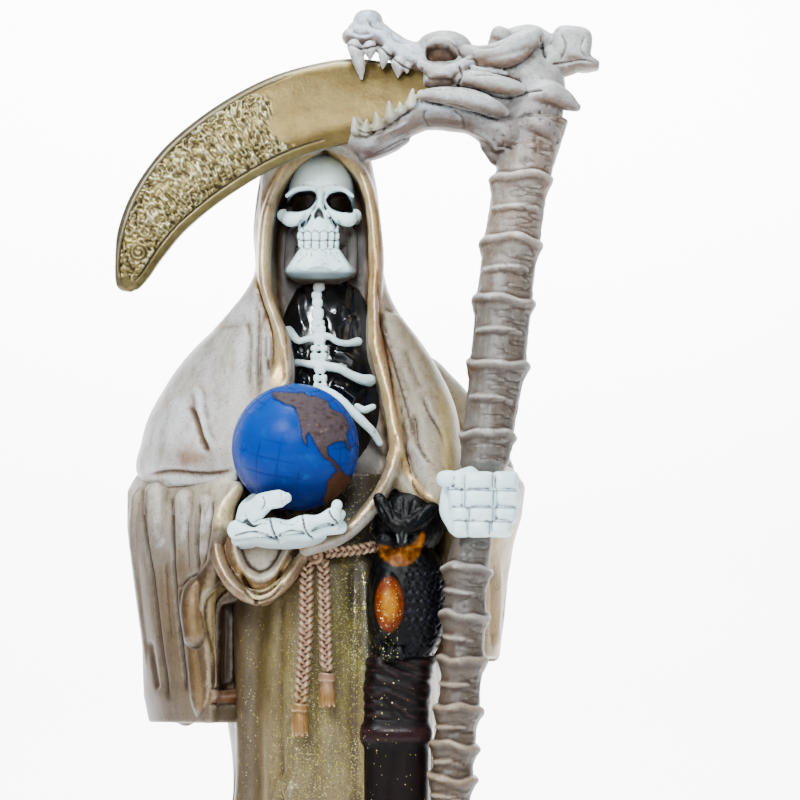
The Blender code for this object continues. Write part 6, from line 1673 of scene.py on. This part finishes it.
    # painted highlights on the lips and knobs, then the painted shade with the darker grooves
    skin.mix(rgb(208, 204, 198), 0.85 * bright * step(250, 330, z))
    skin.mix(rgb(186, 166, 140), 0.8 * bright * step(330, 250, z))
    skin.mix(rgb(74, 56, 42), 0.9 * np.clip(wash, 0, 1))
    skin.mix(rgb(120, 88, 66), 0.5 * step(0.1, 0.6, noise(skin.points * np.array([1, 1, 0.5]), 9, 174))
             * step(0.2, 0.9, noise(skin.points, 2.5, 175) + 0.6))
    wash_shade_and_highlight(skin, 4, 0.8, rgb(62, 46, 36), 0.3, rgb(220, 216, 208), 0.35)
    skin.finish(MATERIALS["relic"], "scythe", "bone", np.interp(z, [200, 330, 380, 430, 480, 520],
            [0.68, 0.66, 0.8, 0.8, 1.1, 1.0])[:, None])


EYE_HOLE = [(424.6, 55), (426.5, 46), (436, 42.4), (447.9, 43.2), (455, 50), (458.2, 56.5), (452, 60.4), (437, 61.4),
            (428, 60.4)]


def make_dragon():
    clay = Clay()
    mid = -66

    def run(y, rows, **options):
        clay.tube([(*front(u, v, y + dy), r) for u, v, dy, r in rows], **options)

    # snout, brow and the long cheek, drawn in profile
    run(mid, ((360, 33, 0, 6.5), (372, 34, 0, 7.4), (386, 42, 0, 6.6), (400, 50, 0, 6.2), (414, 55, 0, 6.4),
              (428, 57, 0, 7.6)),
        sides=20, count=40, wide=1.2, across=(0, 1, 0))
    clay.ball(front(368, 24, mid), (7.6, 9.5, 7.4), sides=28)
    run(mid, ((349, 37, 0, 3.6), (364, 40, 0, 4.0), (379, 38, 0, 4.6), (392, 50, 0, 4.6), (405, 60, 0, 4.6),
              (422, 66, 0, 4.4)),
        sides=16, count=40, wide=2.0, across=(0, 1, 0))
    clay.ball(front(444, 49, mid), (14.0, 13.5, 8.4), sides=32)
    clay.ball(front(440, 80, mid), (9.4, 12.0, 7.0), sides=26, square=3.2)
    run(mid, ((424, 62, 0, 5), (448, 68, 0, 8), (474, 74, 0, 10.5), (500, 74, 0, 12.5), (522, 72, 0, 13.5),
              (536, 84, 0, 14), (534, 108, 0, 14.5),
              (528, 136, 0, 14.6), (523, 166, 0, 13.2)), sides=24, count=60, wide=0.92, across=(0, 1, 0))
    clay.ball(front(492, 106, mid), (13, 10, 9), sides=24)
    # lower jaw
    run(mid, ((359, 141, 0, 5.4), (366, 147, 0, 6.4), (378, 143, 0, 6.6), (392, 132, 0, 6.8), (406, 123, 0, 7.2),
              (422, 115, 0, 7.8), (440, 112, 0, 8.8),
              (456, 114, 0, 8.8), (472, 117, 0, 8.6), (488, 124, 0, 9.6), (506, 136, 0, 12)), sides=20, count=60,
        wide=1.25, across=(0, 1, 0))
    clay.ball(front(358, 131, mid), (3.8, 8.5, 6.0), sides=22, square=2.6)
    run(mid, ((364, 156, 0, 3.0), (376, 151, 0, 4), (392, 145, 0, 3.6), (404, 138, 0, 3)), sides=12, count=20,
        wide=1.8, across=(0, 1, 0))
    for side in (-1, 1):
        y = mid + side * 12
        # the bar under the eye
        run(y, ((422, 65, -0.5 * side, 2.6), (434, 70.5, 1.0 * side, 3.4), (448, 71, 1.6 * side, 3.4),
                (460, 66.5, 1.0 * side, 3.2), (469, 61, 0, 2.4)), sides=14, count=30)
        # horns
        run(y, ((468, 52, -2 * side, 3.6), (484, 54, 0.5 * side, 4.4), (504, 51, 2.0 * side, 5.4),
                (520, 44, 2.0 * side, 5.6), (535, 37, 0, 4.6)), sides=16, count=40)
        run(y, ((476, 59, -1 * side, 2.6), (494, 61, 1.5 * side, 3.4), (512, 58, 3.0 * side, 3.6),
                (527, 50, 2.5 * side, 2.6), (532, 42, 0, 1.2)), sides=14, count=40)
        run(y, ((470, 67, -0.5 * side, 1.6), (488, 70.5, 1.0 * side, 1.9), (506, 74, 0, 1.2)), sides=10, count=20)
        run(y, ((458, 78, -1 * side, 3.0), (474, 79, 2.4 * side, 4.4), (492, 83, 4.4 * side, 4.6),
                (510, 87, 4.6 * side, 4.0), (522, 89, 3.8 * side, 2.4)), sides=18, count=40)
        run(y, ((422, 95, -1 * side, 2.6), (438, 95, 2.0 * side, 3.8), (458, 97.5, 4.6 * side, 4.9),
                (477, 102, 5.4 * side, 5.0), (493, 107.5, 5.0 * side, 4.0),
                (506, 112.5, 4.0 * side, 2.0)), sides=18, count=44)
        # teeth of the upper jaw
        y = mid + 8.5 * side
        run(y, ((354, 46, 0, 3.4), (357, 56, 0.8 * side, 3.3), (360, 67, 0.6 * side, 2.5), (361.5, 78, 0, 1.0)),
            sides=12, count=24)
        for u, v, tip_u, tip_v, reach in ((370, 48, 370, 60, 3.6), (385, 53, 382.5, 69, 3.6),
                                          (399, 64, 398, 77.5, 4.0), (407, 67, 407, 73, 2.4)):
            run(y, ((u, v, 0, reach), ((u + tip_u) / 2, (v + tip_v) / 2, 0, reach * 0.62), (tip_u, tip_v, 0, 0.6)),
                sides=10, count=14)
        # teeth of the lower jaw
        for u, v, tip_u, tip_v, reach in ((356, 130, 354, 117, 2.8), (365, 131, 367, 119, 2.8),
                                          (378, 127, 376, 112, 3.4), (391, 118, 389, 101, 3.6),
                                          (401, 112, 400, 102, 2.8), (411, 105, 413, 89, 3.2)):
            run(y, ((u, v, 0, reach), ((u + tip_u) / 2, (v + tip_v) / 2, 0, reach * 0.66), (tip_u, tip_v, 0, 0.6)),
                sides=10, count=14)
    # blocks of bone behind
    run(mid, ((498, 44, 0, 5), (514, 39, 0, 5.6), (530, 37, 0, 6.0), (543, 42, 0, 5.5)), sides=16, count=24, wide=1.2,
        across=(0, 1, 0))
    clay.ball(front(501, 38, mid), (5.6, 8, 4.6), (0, 25, 0), sides=20, square=2.8)
    clay.ball(front(571, 47.5, mid), (10.0, 10.5, 9.4), (0, 6, 0), sides=28, square=3.6)
    run(mid, ((545, 66, 0, 8), (558, 60, 0, 9.0), (570, 56, 0, 9.0)), sides=20, count=24, wide=1.0, across=(0, 1, 0))
    run(mid, ((572, 62, 0, 4.4), (588, 64.5, 0, 4.0), (597, 66, 0, 2.4)), sides=14, count=20, wide=2.0,
        across=(0, 1, 0))
    for side in (-1, 1):
        run(mid + 8 * side, ((526, 101, 0, 5.0), (537, 94, 2 * side, 5.8), (549, 93, 3 * side, 6.0),
                             (561, 98, 1.5 * side, 5.2), (570, 104, 0, 4.0), (576, 107, 0, 2.4)),
            sides=16, count=30)
        run(mid + 9 * side, ((523, 126, 0, 4.4), (533, 124, 2 * side, 5.0), (544, 128, 2.4 * side, 5.4),
                             (552, 135, 0.5 * side, 4.4), (556, 140, -1 * side, 2.6)),
            sides=16, count=30)
    run(mid, ((540, 148, 0, 7), (547, 158, 0, 4.6)), sides=14, count=12)
    run(mid, ((492, 144, 0, 6), (498, 156, 0, 5)), sides=14, count=12)
    skin = clay.skin("dragon_skull", 0.68, 1)
    outward = np.sign(skin.points[:, 1] - mid)
    # the eye: an angular hole; a low brow over it
    eye = smooth_path([(*row, 0) for row in [*EYE_HOLE, EYE_HOLE[0]]], 60)[:-1, :2]
    skin.move(np.array([0, -1, 0]) * (outward * 6.0 * step(-0.4, 3.2, inside_distance(skin.u, skin.v, eye))
                                      * (np.abs(skin.points[:, 1] - mid) > 4))[:, None])
    mouth = [(345, 46), (353, 45), (364, 49), (378, 46), (389, 55), (400, 64), (409, 69), (421, 72)]
    for rows, width, depth in ((mouth, 1.1, -1.2), ([(422, 66), (421.5, 84), (424, 92)], 1.2, -1.0),
                               ([(459, 64), (461, 74), (457, 88)], 1.3, -1.0),
                               ([(424, 87.5), (440, 89), (458, 87)], 1.2, -0.9),
                               ([(466, 58), (474, 60), (478, 66)], 1.3, -0.8),
                               ([(422, 101), (440, 104), (458, 106.5), (476, 112), (492, 118), (506, 120)], 1.3,
                                -1.2),
                               ([(462, 88), (480, 91), (500, 97), (516, 98)], 1.3, -1.1),
                               ([(472, 64.5), (490, 67), (508, 69), (524, 62)], 0.9, -0.9),
                               ([(468, 75.5), (488, 74.5), (508, 77.5), (524, 83)], 1.0, -0.9),
                               ([(352, 122), (364, 133), (384, 129), (402, 117), (418, 105)], 1.1, -0.8),
                               ([(474, 47.5), (494, 46.5), (508, 38)], 1.2, -0.8),
                               ([(541, 34), (543, 50), (548, 60)], 1.4, -1.2),
                               ([(550, 64), (566, 63), (584, 60), (596, 63)], 1.2, -1.1),
                               ([(366, 157), (386, 149), (404, 140), (430, 135), (470, 135)], 1.3, -0.9),
                               ([(560, 31), (566, 45), (560, 62)], 1.6, -0.7),
                               ([(586, 34), (581, 48), (586, 58)], 1.4, -0.6),
                               ([(390, 30), (396, 40), (410, 44)], 1.6, -0.6),
                               ([(366, 17), (372, 26), (386, 30)], 1.6, -0.6),
                               ([(352, 30), (360, 34), (372, 33)], 1.4, -0.7),
                               ([(426, 108), (424, 118), (430, 128)], 1.5, -0.6),
                               ([(452, 109), (462, 118), (464, 130)], 1.6, -0.7),
                               ([(512, 98), (530, 92), (545, 90)], 1.2, -1.0),
                               ([(516, 118), (530, 114), (548, 118)], 1.3, -1.1),
                               ([(512, 146), (530, 144), (550, 148)], 1.3, -1.0),
                               ([(496, 146), (520, 150), (548, 147)], 1.2, -0.9)):
        skin.stroke(rows, width, depth)
    for rows, width, height in (([(424, 84), (430, 76), (444, 74), (456, 78)], 3, 0.7),
                                ([(426, 44), (436, 39), (448, 39.5), (458, 46)], 1.8, 1.1),
                                ([(470, 130), (488, 139), (500, 152)], 2.4, 0.7),
                                ([(372, 139), (392, 130), (412, 119)], 2.0, 0.7)):
        skin.stroke(rows, width, height)
    lumps = noise(skin.points, 5, 181)
    pits = np.maximum(0, noise(skin.points, 2.2, 183) - 0.22) * step(478, 496, skin.u) * step(100, 112,
            skin.v) * step(156, 146, skin.v)
    skin.move(skin.normals * (0.3 * lumps - 1.9 * pits + 0.08 * noise(skin.points, 2, 185))[:, None])
    u, v = skin.u, skin.v
    skin.colour[:] = rgb(186, 184, 180)
    skin.rough[:] = 0.46
    skin.mix(rgb(158, 150, 142), 0.6 * step(-0.2, 0.5, noise(skin.points, 9, 187)))
    # painted light: the top of the snout pale and bluish, the upward faces behind lighter, and a highlight on the
    # side of the lower jaw
    skin.mix(rgb(216, 222, 228), 0.75 * skin.area([(350, 20), (368, 12), (392, 34), (420, 50), (418, 62), (396, 54),
                                                   (378, 42), (348, 42)], 6))
    skin.mix(rgb(214, 214, 212), 0.6 * step(0.1, 0.8, skin.normals[:, 2]) * step(470, 500, u))
    skin.mix(rgb(196, 200, 204), 0.5 * skin.area([(420, 98), (462, 100), (462, 118), (424, 118)], 5))
    skin.mix(rgb(164, 144, 132), 0.5 * step(480, 510, u) * step(90, 120, v))
    # the undersides darker brown, darkest under the lower jaw: painted shade; and brown in the mouth line
    under = step(-0.15, -0.75, skin.normals[:, 2])
    skin.mix(rgb(104, 80, 62), 0.85 * under)
    skin.mix(rgb(76, 46, 38), 0.8 * under * step(138, 152, v))
    skin.mix(rgb(128, 112, 98), 0.7 * skin.area([(374, 134), (392, 124), (410, 114), (424, 110), (420, 128),
                                                 (398, 132), (380, 144)], 4))
    skin.mix(rgb(104, 76, 56), 0.8 * skin.area([(476, 58), (500, 59), (520, 55), (532, 46), (534, 52), (526, 60),
                                                (500, 66), (478, 65)], 2.0))
    hole = step(-0.6, 1.6, inside_distance(skin.u, skin.v, eye))
    skin.mix(rgb(124, 100, 82), 0.9 * hole)
    skin.mix(rgb(72, 52, 42), 0.6 * hole * step(0.0, 0.6, noise(skin.points, 2.4, 189)))
    skin.mix(rgb(196, 186, 150), 0.6 * skin.area([(351, 111), (370, 112), (392, 94), (415, 84), (416, 104),
                                                  (398, 114), (380, 129), (366, 136), (352, 132)], 3))
    wash_shade_and_highlight(skin, 6, 1.0, rgb(58, 42, 32), 0.34, rgb(232, 232, 230), 0.5)
    skin.mix(rgb(40, 32, 28), 0.8 * skin.band(mouth, 0.5, 0.9) * skin.seen(0.0))
    skin.mix(rgb(58, 42, 32), 0.7 * step(0.02, 0.16, pits))
    # the lower half of the skull darker: painted shade
    tone = 1 - 0.42 * step(96, 112, v) * step(340, 360, u)
    skin.finish(MATERIALS["relic"], "scythe", "bone", tone[:, None] * np.array([0.98, 1.04, 1.12]))


BLADE = [(-91.5, 452.6, 2.6), (-91, 455.5, 6.0), (-89, 463, 9.4), (-84.5, 476, 12.8), (-76, 492, 16.0),
         (-63, 507.5, 18.6), (-48, 520, 19.8),
         (-31, 531, 20.5), (-14, 539, 21), (3, 544, 21), (18, 546.5, 20.5), (34, 547, 18), (46, 547, 16),
         (54, 547, 14)]


def make_blade():
    """The blade with its hammered and scrolled faces inside a plain engraved border."""
    count, sides = int(380 / FINE), int(190 / FINE)
    path = smooth_path([(x, z, half) for x, z, half in BLADE], count)
    ways = np.gradient(path[:, :2], axis=0)
    ways /= np.linalg.norm(ways, axis=1)[:, None]
    length = np.concatenate([[0], np.cumsum(np.linalg.norm(np.diff(path[:, :2], axis=0), axis=1))])
    turn = np.linspace(0, 2 * math.pi, sides, endpoint=False)
    c, s = np.cos(turn), np.sin(turn)
    c, s = np.sign(c) * np.abs(c) ** 0.75, np.sign(s) * np.abs(s) ** 0.75
    loops, along, over, halves = [], [], [], []
    for (x, z, half), way, run in zip(path, ways, length):
        across = np.array([-way[1], way[0]])
        thick = min(6.5, 0.9 + 0.42 * half)
        at = np.array([x, z])[None] + across[None] * (half * c)[:, None]
        loops.append(np.stack([at[:, 0], -66 + thick * s, at[:, 1]], axis=1))
        along.append(np.full(sides, run))
        over.append(half * c)
        halves.append(np.full(sides, half))
    skin = grid_skin("blade", loops)
    along, over, halves = (np.concatenate(part) for part in (along, over, halves))
    if np.linalg.norm(skin.points[0] - loops[0][0]) > np.linalg.norm(skin.points[0] - loops[-1][0]):
        along, over, halves = (part.reshape(-1, sides)[::-1].ravel() for part in (along, over, halves))
    side = step(0.25, 0.6, np.abs(skin.normals[:, 1]))
    plane = np.stack([along, over, np.where(skin.points[:, 1] < -66, 0.0, 60.0)], axis=1)
    inset = halves - np.abs(over)
    edge_of = step(3.4, 4.4, inset) * step(4, 7, along)
    smooth_from = 112 + 5 * np.sin(over / 5.5) + 4 * noise(plane, 9, 191) - 0.28 * over
    worked = edge_of * step(smooth_from + 1.2, smooth_from - 1.2, along)
    # scrolls: spiral grooves around seeded centres, and slanting ribs and dimples between them
    dice = np.random.default_rng(7)
    best = np.full(len(along), 9e9)
    scroll = np.zeros(len(along))
    reach_of = np.full(len(along), 5.0)
    centres = [(19, -1.5, 4.6, 1)]
    centres += [(a, b, r, d) for a, b, r, d in zip(dice.uniform(26, 112, 26), dice.uniform(-13, 13, 26),
                                                   dice.uniform(1.0, 2.0, 26), dice.choice([-1, 1], 26))]
    for a, b, r, hand in centres:
        da, db = along - a, over - b
        far = np.hypot(da, db) / r
        closer = far < best
        twist = hand * np.arctan2(db, da) + 2 * math.pi * np.hypot(da, db) / 2.0
        scroll[closer], best[closer], reach_of[closer] = np.cos(twist)[closer], far[closer], r
    inside = step(1.15, 0.85, best)
    # worm-like ridges and dimples, with faint upright ribs down the middle
    middle_band = step(8.5, 5.5, np.abs(over - 1.0 + 1.5 * noise(plane, 14, 192)))
    ribs = np.cos(2 * math.pi * (along + 0.9 * np.sin(over / 3.0) + 0.9 * noise(plane, 6, 193)) / 2.7) * step(60, 72,
            along + 6 * noise(plane, 12, 194))
    worms = np.maximum(0, 1 - np.abs(noise(plane * np.array([1.5, 0.8, 1]), 3.0, 195, 2)) * 4.5) + 0.7 * np.maximum(0,
            1 - np.abs(noise(plane + 31, 2.3, 196, 2)) * 4.0)
    hammered = noise(plane, 1.9, 197, 2)
    rough = 0.85 * worms - 0.35 + 0.35 * hammered
    broken = step(-0.5, 0.3, noise(plane, 5, 198))
    height = inside * scroll * 0.35 + (1 - inside) * (middle_band * (0.26 * ribs * broken + 0.75 * rough)
                                                      + (1 - middle_band) * rough)
    border = np.exp(-(((inset - 3.4) / 0.6) ** 2)) * step(4, 8, along) * step(smooth_from + 22, smooth_from + 10,
            along)
    push = 1.1 * worked * height - 0.7 * border + 0.10 * noise(skin.points, 7, 199) - 0.35
    end = step(0, 5, along)
    skin.move(skin.normals * (push * side * end)[:, None])
    skin.metal[:] = 0.7
    skin.rough[:] = 0.33
    skin.colour[:] = rgb(196, 184, 142)
    skin.mix(rgb(214, 204, 166), 0.6 * step(-0.2, 0.5, noise(skin.points, 10, 201)))
    flat_part = side * (1 - worked) * step(smooth_from, smooth_from + 3, along)
    skin.mix(rgb(188, 170, 124), 0.8 * flat_part)
    skin.mix(rgb(158, 132, 82), 0.5 * flat_part * step(0.0, 0.6, noise(skin.points * np.array([0.4, 1, 1]), 6, 203)))
    skin.mix(rgb(150, 146, 132), 0.55 * (1 - side) * (over * 1.0 > 0))
    # dark in the crevices, partly a dark wash and partly painted shade; pale on the ridges: painted highlight
    skin.mix(rgb(70, 56, 26), 0.85 * worked * step(0.05, -0.35, height) * side)
    skin.mix(rgb(255, 252, 226), 1.0 * worked * step(0.25, 0.5, height) * side)
    skin.mix(rgb(58, 48, 28), 0.85 * border * side)
    skin.mix(rgb(104, 88, 52), 0.6 * side * step(38, 8, along) * step(0.2, -0.3, height))
    skin.mix(rgb(226, 222, 206), 0.7 * side * step(3.2, 2.4, inset) * (over > 0))
    skin.finish(MATERIALS["gold"], "scythe", "bone", (0.34 - 0.10 * (1 - worked)[:, None])
                * np.array([1, 0.95, 0.86]))


def stage_and_light():
    scene = bpy.context.scene
    view = bpy.data.cameras.new("view")
    view.sensor_width, view.lens, view.clip_start, view.clip_end = 36.0, 36.0 * SHEET_FOCUS / 800, 0.05, 30
    camera = bpy.data.objects.new("view", view)
    camera.location = EYE * MM
    camera.rotation_euler = (math.radians(90) + LOOK_UP, 0, 0)
    scene.collection.objects.link(camera)
    scene.camera = camera

    def plain(name, colour, glow=0.0, rough=0.7):
        material = bpy.data.materials.new(name)
        material.use_nodes = True
        shader = material.node_tree.nodes["Principled BSDF"]
        shader.inputs["Base Color"].default_value = (*colour, 1)
        shader.inputs["Roughness"].default_value = rough
        if glow:
            shader.inputs["Emission Color"].default_value = (1, 1, 1, 1)
            shader.inputs["Emission Strength"].default_value = glow
        return material

    # a pale floor that rises into the backdrop behind
    profile = [(-2.6, 0.0), (0.9, 0.0), (1.15, 0.03), (1.35, 0.10), (1.50, 0.25), (1.56, 0.45), (1.58, 0.8),
               (1.58, 2.6)]
    mesh = bpy.data.meshes.new("floor")
    corners = [(x, y, z) for y, z in profile for x in (-3.0, 3.0)]
    mesh.from_pydata(corners, [], [(2 * i, 2 * i + 1, 2 * i + 3, 2 * i + 2) for i in range(len(profile) - 1)])
    mesh.materials.append(plain("pale_floor", (0.86, 0.86, 0.86)))
    mesh.shade_smooth()
    floor = bpy.data.objects.new("floor", mesh)
    scene.collection.objects.link(floor)

    def hang(light, spot, aim):
        item = bpy.data.objects.new(light.name, light)
        item.location = spot
        item.rotation_euler = (Vector(aim) - Vector(spot)).to_track_quat("-Z", "Y").to_euler()
        scene.collection.objects.link(item)

    def soft_spot(name, power, cone, radius):
        light = bpy.data.lights.new(name, "SPOT")
        light.energy, light.spot_size, light.spot_blend, light.shadow_soft_size = power, cone, 1, radius
        return light

    def panel(name, spot, aim, size, power, tint=(1, 1, 1)):
        light = bpy.data.lights.new(name, "AREA")
        light.shape, light.size, light.size_y = "RECTANGLE", size[0], size[1]
        light.energy, light.color = power, tint
        hang(light, spot, aim)

    panel("key", (-0.50, -1.20, 1.12), (0, -0.02, 0.42), (0.28, 0.28), 27, (0.91, 0.965, 1.0))
    panel("sky", (-0.15, -0.45, 1.62), (0, -0.02, 0.35), (0.45, 0.45), 25, (0.91, 0.965, 1.0))
    panel("front", (-0.05, -1.40, 0.72), (0, 0, 0.48), (0.25, 0.25), 10, (0.91, 0.965, 1.0))
    hang(soft_spot("face", 9, math.radians(10), 0.06), (-0.01, -0.9, 0.50), (0, -0.03, 0.508))
    panel("fill", (1.15, -1.05, 0.62), (0, 0, 0.34), (0.7, 0.7), 3.2, (0.92, 0.96, 1.0))
    panel("top", (0.05, 0.15, 1.5), (0, 0, 0.3), (0.5, 0.4), 7, (0.95, 0.98, 1.0))
    panel("back", (0.0, 0.72, 1.3), (0, 1.58, 0.55), (2.6, 0.6), 240)
    world = bpy.data.worlds.new("studio")
    world.use_nodes = True
    world.node_tree.nodes["Background"].inputs["Color"].default_value = (0.90, 0.94, 1.0, 1)
    world.node_tree.nodes["Background"].inputs["Strength"].default_value = 0.16
    scene.world = world


for make in (make_cloak, make_robe, make_sleeve_left, make_sleeve_right, make_cuff, make_skull, make_chest, make_ribs,
             make_hand_left,
             make_hand_right, make_base, make_owl, make_pedestal, make_rope, make_globe, make_staff, make_dragon,
             make_blade):
    make()
stage_and_light()
